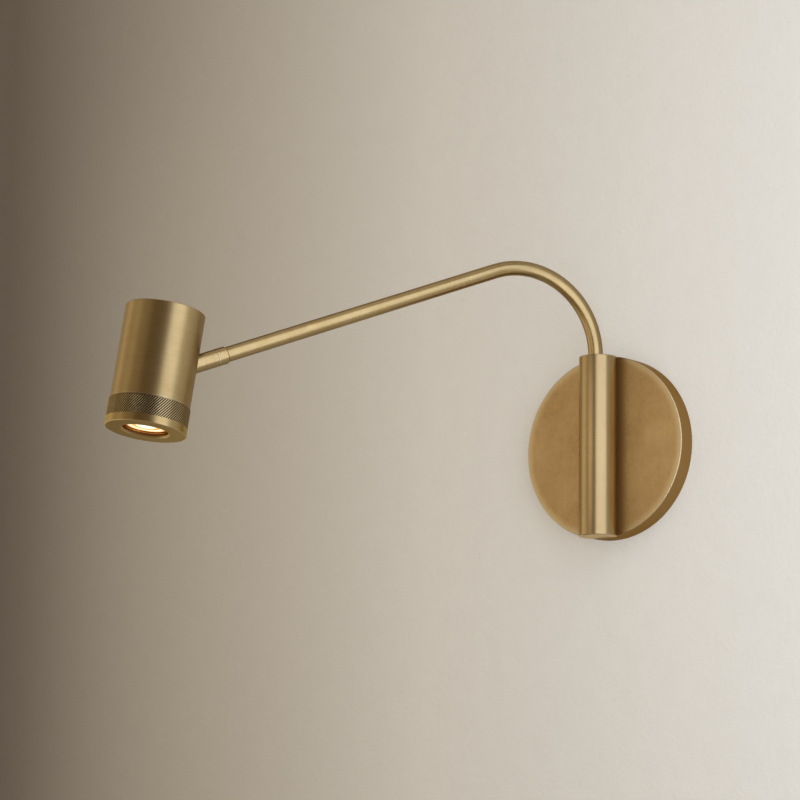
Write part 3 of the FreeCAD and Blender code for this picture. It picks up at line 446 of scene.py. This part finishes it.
def plain_finish(name, pale, dark, constants, cloud_size, smooth=0.3, rough=0.5,
                 stretch=(1500.0, 1500.0, 1500.0)):
    """A finish with slight clouds in its colour and a fine grain in its surface."""
    made, tree, shader = principled(name, constants)
    own = own_coordinates(tree, UPRIGHT)
    middle = tuple((a + b) / 2 for a, b in zip(pale, dark))
    clouds = use_group(tree, patina, {"Vector": own, "Cloud Size": cloud_size, "Pale": pale,
                                      "Middle": middle, "Dark": dark, "Smoothest": smooth,
                                      "Roughest": rough})
    marks = use_group(tree, brush_marks, {"Vector": own, "Stretch": stretch})
    tree.links.new(clouds["Color"], shader.inputs["Base Color"])
    tree.links.new(clouds["Roughness"], shader.inputs["Roughness"])
    bump = add(tree, "ShaderNodeBump", {"Height": marks["Height"], "Distance": FINE_GRAIN})
    tree.links.new(bump.outputs[0], shader.inputs["Normal"])
    return made


METAL = {"Metallic": 1.0}
finishes = {
    "bracket_steel": plain_finish("zinc_plated_steel", (0.62, 0.63, 0.62, 1), (0.45, 0.46, 0.46, 1),
                                  METAL, 0.006, 0.3, 0.45),
    "fixing_steel": plain_finish("screw_steel", (0.40, 0.40, 0.41, 1), (0.22, 0.22, 0.23, 1), METAL,
                                 0.002),
    "grub_steel": plain_finish("blackened_steel", (0.11, 0.11, 0.11, 1), (0.05, 0.05, 0.05, 1), METAL,
                               0.002),
    "earth_brass": plain_finish("bright_brass", (0.78, 0.62, 0.32, 1), (0.66, 0.49, 0.22, 1), METAL,
                                0.004, 0.2, 0.35),
    "bearing_bronze": plain_finish("bearing_bronze", (0.58, 0.36, 0.18, 1), (0.42, 0.25, 0.12, 1),
                                   METAL, 0.001, 0.4, 0.55),
    "driver_case": plain_finish("white_plastic", (0.80, 0.80, 0.78, 1), (0.74, 0.74, 0.71, 1), {},
                                0.003, 0.42, 0.55),
    "terminal_plastic": plain_finish("black_plastic", (0.035, 0.035, 0.036, 1),
                                     (0.018, 0.018, 0.018, 1), {}, 0.003, 0.4, 0.55),
    "washer_polymer": plain_finish("bearing_plastic", (0.80, 0.78, 0.70, 1), (0.70, 0.68, 0.60, 1),
                                   {}, 0.002, 0.4, 0.5),
    "seal_rubber": plain_finish("seal_rubber", (0.03, 0.03, 0.03, 1), (0.015, 0.015, 0.015, 1), {},
                                0.002, 0.6, 0.75),
    "sink_aluminium": plain_finish("sink_aluminium", (0.82, 0.83, 0.84, 1), (0.70, 0.71, 0.72, 1),
                                   METAL, 0.004, 0.3, 0.42, stretch=(200.0, 200.0, 3000.0)),
    "board_white": plain_finish("board_white", (0.86, 0.86, 0.84, 1), (0.80, 0.80, 0.78, 1), {},
                                0.003, 0.3, 0.4),
    "lead_insulation": plain_finish("lead_sheath", (0.06, 0.055, 0.05, 1), (0.035, 0.03, 0.03, 1), {},
                                    0.002, 0.45, 0.6),
}
print("hidden finishes:", len(finishes))

# %% [markdown]
# ## The light source
# The lens is a clear moulded optic with a yellow light-emitting chip behind its middle.
# Lit, it shows a white core, an amber ring, a second white ring and an amber rim.
# A colour ramp over the distance from the middle line gives those rings to the emission.

# %% Lens and chip
LENS_RADIUS = 0.0132
LENS_RINGS = (
    (0.00, (1.00, 0.93, 0.78, 1)), (0.48, (1.00, 0.88, 0.64, 1)), (0.51, (0.90, 0.34, 0.05, 1)),
    (0.64, (0.80, 0.33, 0.06, 1)), (0.675, (1.00, 0.84, 0.58, 1)), (0.86, (1.00, 0.80, 0.52, 1)),
    (0.915, (0.85, 0.31, 0.045, 1)), (1.00, (0.35, 0.10, 0.015, 1)))


def lit_lens():
    made, tree, shader = principled("lit_lens", {"Roughness": 0.12, "IOR": 1.49,
                                                 "Emission Strength": 1.15})
    own = own_coordinates(tree, IN_HEAD)
    share = math_node(tree, "DIVIDE", measures(tree, own)["out"], LENS_RADIUS)
    rings = colour_ramp(tree, share, LENS_RINGS)
    tree.links.new(rings, shader.inputs["Emission Color"])
    tree.links.new(rings, shader.inputs["Base Color"])
    return made


finishes["lens_clear"] = lit_lens()
finishes["led_phosphor"] = plain_finish(
    "chip_phosphor", (1.0, 0.80, 0.25, 1), (0.9, 0.66, 0.16, 1),
    {"Emission Strength": 2.0, "Emission Color": (1.0, 0.85, 0.6, 1)}, 0.001)
print("lens rings:", len(LENS_RINGS))

# %% [markdown]
# ## Finishing the CAD pieces
# The record names each piece's material slot. Most slots have one finish.
# The brass pieces get the finish that is brushed the way that piece was made.

# %% Give every piece its finish
BRASS_BY_PIECE = {
    "back_plate": brass_plate, "column": brass_column, "column_cap": brass_column,
    "arm_tube": brass_tube, "arm_collar": brass_swivel, "head_stub": brass_swivel,
    "head_housing": brass_head, "knurled_ring": brass_ring}
slot_of = {entry["node"]: entry["material_slot"] for entry in frame["record"]["subparts"]}
for name, piece in nodes.items():
    finish = BRASS_BY_PIECE.get(name) or finishes[slot_of[name]]
    piece.data.materials.clear()
    piece.data.materials.append(finish)
print("pieces finished:", len(nodes))

# %% [markdown]
# ## Shapes that repeat
# A knurl is hundreds of equal teeth and the lamp's screws are groups of equal pieces.
# Geometry Nodes place one shape on many points. Each tree has named inputs for its sizes, turns its
# instances into real faces and gives them their material. `grow` runs a tree and keeps its mesh.

# %% Geometry Nodes helpers
def new_shape_tree(name, inputs):
    """A Geometry Nodes tree with named inputs; also gives its input sockets."""
    tree = bpy.data.node_groups.new(name, "GeometryNodeTree")
    tree.interface.new_socket("Geometry", in_out="OUTPUT", socket_type="NodeSocketGeometry")
    for label, kind in inputs.items():
        tree.interface.new_socket(label, in_out="INPUT", socket_type="NodeSocket" + kind)
    return tree, tree.nodes.new("NodeGroupInput").outputs


def finish_tree(tree, given, instances):
    """Every tree ends alike: instances become real faces and get their material."""
    real = add(tree, "GeometryNodeRealizeInstances", {"Geometry": instances}).outputs[0]
    painted = add(tree, "GeometryNodeSetMaterial", {"Geometry": real, "Material": given["Material"]})
    add(tree, "NodeGroupOutput", {"Geometry": painted.outputs[0]})


def grow(tree, values, points=()):
    """Run a tree and keep what it makes as a plain mesh.

    A tree that needs points to start from gets them as (place, facing) pairs.
    """
    start = bpy.data.meshes.new(tree.name)
    start.from_pydata([place for place, facing in points], [], [])
    if points:
        aims = start.attributes.new("facing", "FLOAT_VECTOR", "POINT")
        for entry, (place, facing) in zip(aims.data, points):
            entry.vector = facing
    carrier = bpy.data.objects.new(tree.name, start)
    bpy.context.scene.collection.objects.link(carrier)
    modifier = carrier.modifiers.new(tree.name, "NODES")
    modifier.node_group = tree
    sockets = {item.name: item.identifier for item in tree.interface.items_tree
               if item.item_type == "SOCKET" and item.in_out == "INPUT"}
    for label, value in values.items():
        modifier[sockets[label]] = value
    view = bpy.context.evaluated_depsgraph_get()
    mesh = bpy.data.meshes.new_from_object(carrier.evaluated_get(view), depsgraph=view)
    bpy.data.objects.remove(carrier)
    return mesh


def make_piece(name, meshes, place, materials, body, node):
    """Join meshes, set them in place and let the piece stand for a CAD node."""
    joined = bmesh.new()
    for mesh in meshes:
        joined.from_mesh(mesh)
    whole = bpy.data.meshes.new(name)
    joined.to_mesh(whole)
    joined.free()
    whole.transform(place)
    for finish in materials:
        whole.materials.append(finish)
    piece = bpy.data.objects.new(name, whole)
    bpy.context.scene.collection.objects.link(piece)
    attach(piece, body)
    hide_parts(node)
    print(name + ":", len(whole.vertices), "points,", len(whole.polygons), "faces")


print("shape helpers: tree, grow and piece")

# %% [markdown]
# ## The knurl
# The ring that is turned by hand has a band of small diamonds pressed into it.
# Real knurling is two crossing sets of slanted grooves, and what stands between them is a grid of
# four-sided pyramids with blunt tips. So the band is turned a little deeper than the lip, and the
# pyramids are set on it in staggered rows: they have edges that catch the light, as bump would not.
# Each tip is drawn out along one slant, into a short ridge, so the grooves that way look deeper.

# %% Knurl teeth
TEETH_AROUND, TOOTH_ROWS = 98, 12
TOOTH_RADIUS, BAND_RADIUS = 25.46 * MM, 25.1 * MM
BAND_TOP, BAND_LENGTH = 60.6 * MM, 13.0 * MM
TOOTH_SINK, TIP_SHARE, RIDGE = 0.05 * MM, 0.42, 1.36
RIDGE_WAY = Vector((1.0, -1.0, 0.0)).normalized()


def knurl_tree():
    tree, given = new_shape_tree("knurl", {
        "Teeth Around": "Int", "Rows": "Int", "Band Radius": "Float", "Ring Radius": "Float",
        "Band Top": "Float", "Band Length": "Float", "Sink": "Float", "Tip Share": "Float",
        "Ridge": "Float", "Material": "Material"})
    total = math_node(tree, "MULTIPLY", given["Teeth Around"], given["Rows"])
    points = add(tree, "GeometryNodePoints", {"Count": total}).outputs[0]
    index = add(tree, "GeometryNodeInputIndex").outputs[0]
    row = math_node(tree, "FLOOR", math_node(tree, "DIVIDE", index, given["Teeth Around"]))
    before = math_node(tree, "MULTIPLY", row, given["Teeth Around"])
    step = math_node(tree, "SUBTRACT", index, before)
    shifted = math_node(tree, "ADD", step, math_node(tree, "MULTIPLY", row, 0.5))
    full_turn = math_node(tree, "DIVIDE", math.tau, given["Teeth Around"])
    angle = math_node(tree, "MULTIPLY", shifted, full_turn)
    rows_and_one = math_node(tree, "ADD", given["Rows"], 1.0)
    half_height = math_node(tree, "DIVIDE", given["Band Length"], rows_and_one)
    level = math_node(tree, "ADD", given["Band Top"],
                      math_node(tree, "MULTIPLY", math_node(tree, "ADD", row, 1.0), half_height))
    foot = math_node(tree, "SUBTRACT", given["Band Radius"], given["Sink"])
    spot = add(tree, "ShaderNodeCombineXYZ", {
        "X": math_node(tree, "MULTIPLY", foot, math_node(tree, "COSINE", angle)),
        "Y": math_node(tree, "MULTIPLY", foot, math_node(tree, "SINE", angle)), "Z": level})
    placed = add(tree, "GeometryNodeSetPosition", {"Geometry": points, "Position": spot.outputs[0]})
    turn = add(tree, "ShaderNodeCombineXYZ", {"Y": math.pi / 2, "Z": angle}).outputs[0]
    half_width = math_node(tree, "MULTIPLY", math_node(tree, "MULTIPLY", full_turn, 0.5),
                           given["Ring Radius"])
    across = math_node(tree, "DIVIDE", half_width, half_height)
    size = add(tree, "ShaderNodeCombineXYZ", {"X": 1.0, "Y": across, "Z": 1.0}).outputs[0]
    tooth = add(tree, "GeometryNodeMeshCone", {
        "Vertices": 4, "Side Segments": 1, "Fill Segments": 1, "Radius Bottom": half_height,
        "Radius Top": math_node(tree, "MULTIPLY", half_height, given["Tip Share"]),
        "Depth": math_node(tree, "SUBTRACT", given["Ring Radius"], foot)}, fill_type="NGON")
    corner = add(tree, "GeometryNodeInputPosition").outputs[0]
    reach = vector_node(tree, "DOT_PRODUCT", corner, RIDGE_WAY).outputs["Value"]
    pull = add(tree, "ShaderNodeVectorMath", {
        0: RIDGE_WAY, 3: math_node(tree, "MULTIPLY", reach, given["Ridge"])}, operation="SCALE")
    high = math_node(tree, "GREATER_THAN",
                     add(tree, "ShaderNodeSeparateXYZ", {0: corner}).outputs["Z"], given["Sink"])
    ridged = add(tree, "GeometryNodeSetPosition", {"Geometry": tooth.outputs[0], "Selection": high,
                                                   "Offset": pull.outputs[0]})
    teeth = add(tree, "GeometryNodeInstanceOnPoints", {
        "Points": placed.outputs[0], "Instance": ridged.outputs[0], "Rotation": turn, "Scale": size})
    finish_tree(tree, given, teeth.outputs[0])
    return tree


teeth = grow(knurl_tree(), {
    "Teeth Around": TEETH_AROUND, "Rows": TOOTH_ROWS, "Band Radius": BAND_RADIUS,
    "Ring Radius": TOOTH_RADIUS, "Band Top": BAND_TOP, "Band Length": BAND_LENGTH,
    "Sink": TOOTH_SINK, "Tip Share": TIP_SHARE, "Ridge": RIDGE, "Material": brass_knurl})
print("teeth:", TEETH_AROUND * TOOTH_ROWS, "with", len(teeth.polygons), "faces")

# %% [markdown]
# ## The ring that carries the knurl
# The ring is turned on a lathe: one profile goes round the middle line. Its bore has two tracks.
# The clip's track goes all the way round and the stop pin's track only as far as the ring may turn,
# so the profile has two more points inside that track, and a small wall closes each of its ends.

# %% Ring
TRACK_FLOOR = 23.4 * MM
STOP_TRACK = (62.7 * MM, 65.3 * MM)
RING_PROFILE = [
    (22.05, 60.5), (25.2, 60.5), (25.46, 60.7), (25.46, 60.95), (25.1, 60.95), (25.1, 72.8),
    (25.5, 72.8), (25.5, 77.1), (25.36, 77.42), (24.9, 77.7), (15.2, 77.7), (14.1, 76.6),
    (14.1, 74.7), (22.05, 74.7),
    (22.05, 72.0), (23.4, 72.0), (23.4, 70.4), (22.05, 70.4), (22.05, 65.3), (22.05, 62.7)]
RING_STEPS, TRACK_STEPS = 216, 168
TRACK_FROM, TRACK_TO = math.radians(-5.0), math.radians(275.0)
# Which of the profile's faces have the knurl's finish (1) or the recess's (2) and not the ring's.
FACE_LOOKS = {3: 1, 4: 1, 5: 1, 11: 2}


def ring_mesh(name):
    """Turn the profile, with the stop track between its two angles only."""
    made = bmesh.new()
    stops = [TRACK_FROM + (TRACK_TO - TRACK_FROM) * step / TRACK_STEPS
             for step in range(TRACK_STEPS + 1)]
    rest = math.tau - (TRACK_TO - TRACK_FROM)
    free = RING_STEPS - TRACK_STEPS
    stops += [TRACK_TO + rest * step / free for step in range(1, free)]
    count, last = len(stops), len(RING_PROFILE) - 1

    def at(radius, level, angle):
        return made.verts.new((radius * math.cos(angle), radius * math.sin(angle), level))

    loops = [[at(radius * MM, level * MM, angle) for radius, level in RING_PROFILE]
             for angle in stops]
    floors = [[at(TRACK_FLOOR, level, angle) for level in reversed(STOP_TRACK)]
              for angle in stops[:TRACK_STEPS + 1]]
    for step in range(count):
        here, there = loops[step], loops[(step + 1) % count]
        for i in range(last + 1):
            j = (i + 1) % (last + 1)
            if i == last - 1 and step < TRACK_STEPS:
                deep, deeper = floors[step], floors[step + 1]
                strips = ((here[i], deep[0], there[i], deeper[0]),
                          (deep[0], deep[1], deeper[0], deeper[1]),
                          (deep[1], here[j], deeper[1], there[j]))
            else:
                strips = ((here[i], here[j], there[i], there[j]),)
            for a, b, c, d in strips:
                face = made.faces.new((a, b, d, c))
                face.material_index = FACE_LOOKS.get(i, 0)
    for step in (0, TRACK_STEPS):
        made.faces.new((loops[step][last - 1], *floors[step], loops[step][last]))
    bmesh.ops.recalc_face_normals(made, faces=made.faces)
    mesh = bpy.data.meshes.new(name)
    made.to_mesh(mesh)
    made.free()
    mesh.polygons.foreach_set("use_smooth", [True] * len(mesh.polygons))
    mesh.set_sharp_from_angle(angle=math.radians(20))
    return mesh


ring_body = ring_mesh("ring_body")
for polygon in teeth.polygons:
    polygon.material_index = 1
make_piece("dimmer_ring", [ring_body, teeth], IN_HEAD, [brass_ring, brass_knurl, brass_shaded_recess],
           "ring", "knurled_ring")

# %% [markdown]
# ## The screws
# All the lamp's screws are one idea in several sizes: a head, a thinner shank and a key's hole.
# One tree makes it, with its sizes as inputs. A headless screw has a long head and a short tip.
# Each point of a group is the middle of a head's top, and its facing is the way the head looks.

# %% Screw tree
SHANK_OVERLAP = 0.4 * MM
HEAD_CORNERS, SHANK_CORNERS, KEY_CORNERS = 32, 20, 6


def screw_tree():
    tree, given = new_shape_tree("screws", {
        "Points": "Geometry", "Head Radius": "Float", "Head Height": "Float",
        "Shank Radius": "Float", "Shank Length": "Float", "Key Radius": "Float",
        "Key Depth": "Float", "Cross": "Bool", "Material": "Material"})

    def shifted(shape, level):
        lift = add(tree, "ShaderNodeCombineXYZ", {"Z": level}).outputs[0]
        return add(tree, "GeometryNodeTransform",
                   {"Geometry": shape, "Translation": lift}).outputs[0]

    def rod(corners, radius, length):
        return add(tree, "GeometryNodeMeshCylinder", {
            "Vertices": corners, "Radius": radius, "Depth": length}, fill_type="NGON").outputs[0]

    def carve(operation, first, second):
        made = add(tree, "GeometryNodeMeshBoolean", operation=operation)
        made.solver = "EXACT"
        tree.links.new(first, made.inputs[0 if operation == "DIFFERENCE" else 1])
        tree.links.new(second, made.inputs[1])
        return made.outputs[0]

    half_head = math_node(tree, "MULTIPLY", given["Head Height"], -0.5)
    half_shank = math_node(tree, "MULTIPLY", given["Shank Length"], -0.5)
    head = shifted(rod(HEAD_CORNERS, given["Head Radius"], given["Head Height"]), half_head)
    middle = math_node(tree, "SUBTRACT", math_node(tree, "ADD", half_shank, SHANK_OVERLAP / 2),
                       given["Head Height"])
    shank = shifted(rod(SHANK_CORNERS, given["Shank Radius"],
                        math_node(tree, "ADD", given["Shank Length"], SHANK_OVERLAP)), middle)
    twice = math_node(tree, "MULTIPLY", given["Key Depth"], 2.0)
    wide = math_node(tree, "MULTIPLY", given["Key Radius"], 2.0)
    thin = math_node(tree, "MULTIPLY", given["Key Radius"], 0.5)
    bars = []
    for a, b in ((wide, thin), (thin, wide)):
        size = add(tree, "ShaderNodeCombineXYZ", {"X": a, "Y": b, "Z": twice}).outputs[0]
        bars.append(add(tree, "GeometryNodeMeshCube", {"Size": size}).outputs[0])
    cross = carve("UNION", bars[0], bars[1])
    key = add(tree, "GeometryNodeSwitch", {"Switch": given["Cross"],
                                           "False": rod(KEY_CORNERS, given["Key Radius"],
                                                        twice),
                                           "True": cross}, input_type="GEOMETRY").outputs[0]
    whole = carve("DIFFERENCE", carve("UNION", head, shank), key)
    facing = add(tree, "GeometryNodeInputNamedAttribute", {"Name": "facing"},
                 data_type="FLOAT_VECTOR").outputs["Attribute"]
    turn = add(tree, "FunctionNodeAlignRotationToVector", {"Vector": facing}, axis="Z").outputs[0]
    placed = add(tree, "GeometryNodeInstanceOnPoints", {
        "Points": given["Points"], "Instance": whole, "Rotation": turn})
    finish_tree(tree, given, placed.outputs[0])
    return tree


screws = screw_tree()
print("tree:", screws.name)

# %% Screws in their places
TO_ROOM, TO_WALL = (0.0, -1.0, 0.0), (0.0, 1.0, 0.0)
SIZE_NAMES = ("Head Radius", "Head Height", "Shank Radius", "Shank Length", "Key Radius",
              "Key Depth")
sink_turns = [math.radians(60 + 120 * step) for step in range(3)]
# name: (its sizes in mm, cross key, CAD node, body, slot, (place in mm, facing) of each screw)
SCREW_GROUPS = {
    "rim_grubs": (
        (2.0, 5.4, 1.5, 0.6, 1.15, 2.0), False, "plate_grub_screws", "wall_unit", "fixing_steel",
        [((0, -5.5, 60), (0, 0, 1)), ((0, -5.5, -60), (0, 0, -1))]),
    "driver_fixings": (
        (2.6, 1.6, 1.5, 4.0, 1.4, 0.9), True, "driver_screws", "wall_unit", "fixing_steel",
        [((-31, -5.6, level), TO_ROOM) for level in (31, -31)]),
    "column_fixings": (
        (2.6, 1.6, 1.5, 9.0, 1.4, 0.9), True, "column_screws", "wall_unit", "fixing_steel",
        [((side, -9.4, level), TO_WALL) for side in (-7.7, 7.7) for level in (-20, 20)]),
    "earth_fixing": (
        (2.6, 1.6, 1.5, 2.0, 1.4, 0.9), True, "earth_screw", "wall_unit", "earth_brass",
        [((12, -3.6, 40), TO_ROOM)]),
    "terminal_fixings": (
        (1.5, 1.1, 1.2, 0.775, 1.0, 0.6), True, "terminal_screws", "wall_unit", "fixing_steel",
        [((28 + side, -8.56, level), TO_ROOM) for side in (-4, 4) for level in (-10, 0, 10)]),
    "sink_fixings": (
        (1.5, 4.5, 1.1, 0.5, 0.85, 1.2), False, "sink_screws", "head", "fixing_steel",
        [((21.9 * math.cos(turn), 21.9 * math.sin(turn), 61.75),
          (math.cos(turn), math.sin(turn), 0.0)) for turn in sink_turns])}
for name, (sizes_mm, cross, node, body, slot, points) in SCREW_GROUPS.items():
    finish = finishes[slot if cross else "grub_steel"]
    values = {label: value * MM for label, value in zip(SIZE_NAMES, sizes_mm)}
    values.update({"Cross": cross, "Material": finish})
    starts = [(tuple(value * MM for value in place), facing) for place, facing in points]
    place = IN_HEAD if body == "head" else UPRIGHT
    make_piece(name, [grow(screws, values, starts)], place, [finish], body, node)

# %% [markdown]
# ## The wall, the floor and the light
# The lamp hangs on a plain plastered wall. The wall and the floor show from one side only, so that
# the back of the lamp can be looked at too.
# The light is soft: a large panel on the right, four weaker ones on the left, in front and above, a
# small card close to the lamp for a highlight, and a dim warm room.

# %% Wall and floor
GRAIN_SCALE, SWELL_SCALE, SWELL_SHARE, RELIEF = 320.0, 60.0, 1.5, 0.0004
UNEVEN_DEPTH, UNEVEN_BASE = 0.06, 0.925


def stage_plane(name, corners, finish):
    mesh = bpy.data.meshes.new(name)
    mesh.from_pydata(corners, [], [(0, 1, 2, 3)])
    mesh.materials.append(finish)
    plane = bpy.data.objects.new(name, mesh)
    bpy.context.scene.collection.objects.link(plane)


def one_sided(name, paints, glows):
    """A matt paint that shows on its front only and looks brighter than it is lit.

    Paint and glow change from left to right, each between the colours at the marks along X.
    On the wall both go from dark on the left to pale on the right: painted shade and light.
    """
    made = bpy.data.materials.new(name)
    made.use_nodes = True
    tree = made.node_tree
    tree.nodes.clear()
    place = add(tree, "ShaderNodeTexCoord").outputs["Object"]
    along = add(tree, "ShaderNodeSeparateXYZ", {0: place}).outputs["X"]
    share = add(tree, "ShaderNodeMapRange", {"Value": along, "From Min": WALL_FROM,
                                             "From Max": WALL_TO}).outputs[0]
    mixes = [colour_ramp(tree, share, [(index / (len(colours) - 1), colour)
                                       for index, colour in enumerate(colours)])
             for colours in (paints, glows)]
    ray = add(tree, "ShaderNodeLightPath").outputs
    direct = math_node(tree, "ADD", ray["Is Camera Ray"], ray["Is Glossy Ray"])
    shown = math_node(tree, "ADD", direct, ray["Is Transmission Ray"], clamp=True)
    grain = add(tree, "ShaderNodeTexNoise", {"Vector": place, "Scale": GRAIN_SCALE, "Detail": 4.0,
                                             "Roughness": 0.6}).outputs["Fac"]
    swell = add(tree, "ShaderNodeTexNoise", {"Vector": place, "Scale": SWELL_SCALE}).outputs["Fac"]
    relief = math_node(tree, "ADD", grain, math_node(tree, "MULTIPLY", swell, SWELL_SHARE))
    bump = add(tree, "ShaderNodeBump", {"Height": relief, "Distance": RELIEF}).outputs[0]
    uneven = math_node(tree, "ADD", math_node(tree, "MULTIPLY", relief, UNEVEN_DEPTH),
                       UNEVEN_BASE)
    strength = math_node(tree, "MULTIPLY", shown, uneven)
    paint = add(tree, "ShaderNodeBsdfDiffuse", {"Color": mixes[0], "Normal": bump}).outputs[0]
    glow = add(tree, "ShaderNodeEmission", {"Color": mixes[1], "Strength": strength}).outputs[0]
    front = add(tree, "ShaderNodeAddShader", {0: paint, 1: glow}).outputs[0]
    clear = add(tree, "ShaderNodeBsdfTransparent").outputs[0]
    behind = add(tree, "ShaderNodeNewGeometry").outputs["Backfacing"]
    mixed = add(tree, "ShaderNodeMixShader", {0: behind, 1: front, 2: clear}).outputs[0]
    add(tree, "ShaderNodeOutputMaterial", {"Surface": mixed})
    return made


WALL_FROM, WALL_TO = -0.55, 0.05
# The wall's paint and glow darken towards the left: painted shade and light across a plain wall.
WALL_PAINT_WITH_SHADE = ((0.10, 0.088, 0.074, 1), (0.24, 0.218, 0.183, 1), (0.345, 0.322, 0.278, 1),
              (0.36, 0.342, 0.30, 1))
WALL_GLOW = ((0.07, 0.054, 0.039, 1), (0.175, 0.153, 0.118, 1), (0.285, 0.262, 0.22, 1),
             (0.31, 0.29, 0.248, 1))
FLOOR_PAINT = ((0.78, 0.71, 0.58, 1),) * 2
FLOOR_GLOW = ((0.21, 0.175, 0.11, 1),) * 2
WALL_AT, FLOOR_AT, REACH = -0.0002, -1.35, 4.0
stage_plane("wall", [(-REACH, WALL_AT, FLOOR_AT), (REACH, WALL_AT, FLOOR_AT),
                     (REACH, WALL_AT, REACH), (-REACH, WALL_AT, REACH)],
            one_sided("wall_paint", WALL_PAINT_WITH_SHADE, WALL_GLOW))
stage_plane("floor", [(-REACH, -REACH, FLOOR_AT), (REACH, -REACH, FLOOR_AT),
                      (REACH, REACH, FLOOR_AT), (-REACH, REACH, FLOOR_AT)],
            one_sided("floor_paint", FLOOR_PAINT, FLOOR_GLOW))
print("stage: wall and floor")


# %% Lights
def panel(name, middle, azimuth, elevation, width, height, brightness, colour):
    """A soft panel on the side that the azimuth gives: 0 is out from the wall, 90 is right.

    Its brightness is how bright the panel itself looks, so its power grows with its size.
    """
    lamp = bpy.data.lights.new(name, "AREA")
    lamp.shape, lamp.size, lamp.size_y = "RECTANGLE", width, height
    lamp.energy, lamp.color = brightness * math.pi * width * height, colour
    around, above = math.radians(azimuth), math.radians(elevation)
    back = Vector((math.sin(around) * math.cos(above), -math.cos(around) * math.cos(above),
                   math.sin(above)))
    holder = bpy.data.objects.new(name, lamp)
    facing = back.to_track_quat("Z", "Y").to_matrix().to_4x4()
    holder.matrix_world = Matrix.Translation(middle) @ facing
    holder.visible_camera = False
    bpy.context.scene.collection.objects.link(holder)


# name, middle, azimuth, elevation, width, height, brightness, colour
PANELS = (
    ("window_panel", (0.38, -0.255, 0.04), 37, 0, 0.58, 1.12, 2.1, (0.94, 1.03, 1.24)),
    ("left_panel", (-0.95, -0.74, 0.13), -52, 0, 1.0, 1.3, 0.44, (1.0, 0.88, 0.70)),
    ("front_panel", (-0.49, -1.2, 0.14), -22, 0, 0.9, 1.3, 0.27, (1.0, 0.88, 0.70)),
    ("side_panel", (-0.42, -0.22, -0.03), -64, 0, 0.34, 0.6, 0.6, (1.0, 0.93, 0.80)),
    ("fill_card", (-0.042, -0.215, 0.03), -12, 0, 0.10, 0.12, 0.85, (1.0, 0.93, 0.80)),
    ("top_panel", (0.0, -0.2, 1.0), 0, 80, 1.0, 0.8, 0.6, (1.0, 0.96, 0.90)))
for row in PANELS:
    panel(*row)

# The room gives a dim warm light, and looks pale where nothing else is in the picture.
ROOM_LIGHT, ROOM_SEEN = (0.23, 0.1725, 0.115, 1.0), (0.66, 0.62, 0.56, 1.0)
world = bpy.data.worlds.new("room")
bpy.context.scene.world = world
world.use_nodes = True
room = world.node_tree
seen = add(room, "ShaderNodeLightPath").outputs["Is Camera Ray"]
room.links.new(mix_colour(room, seen, ROOM_LIGHT, ROOM_SEEN),
               room.nodes["Background"].inputs["Color"])
print("lights:", len(PANELS))
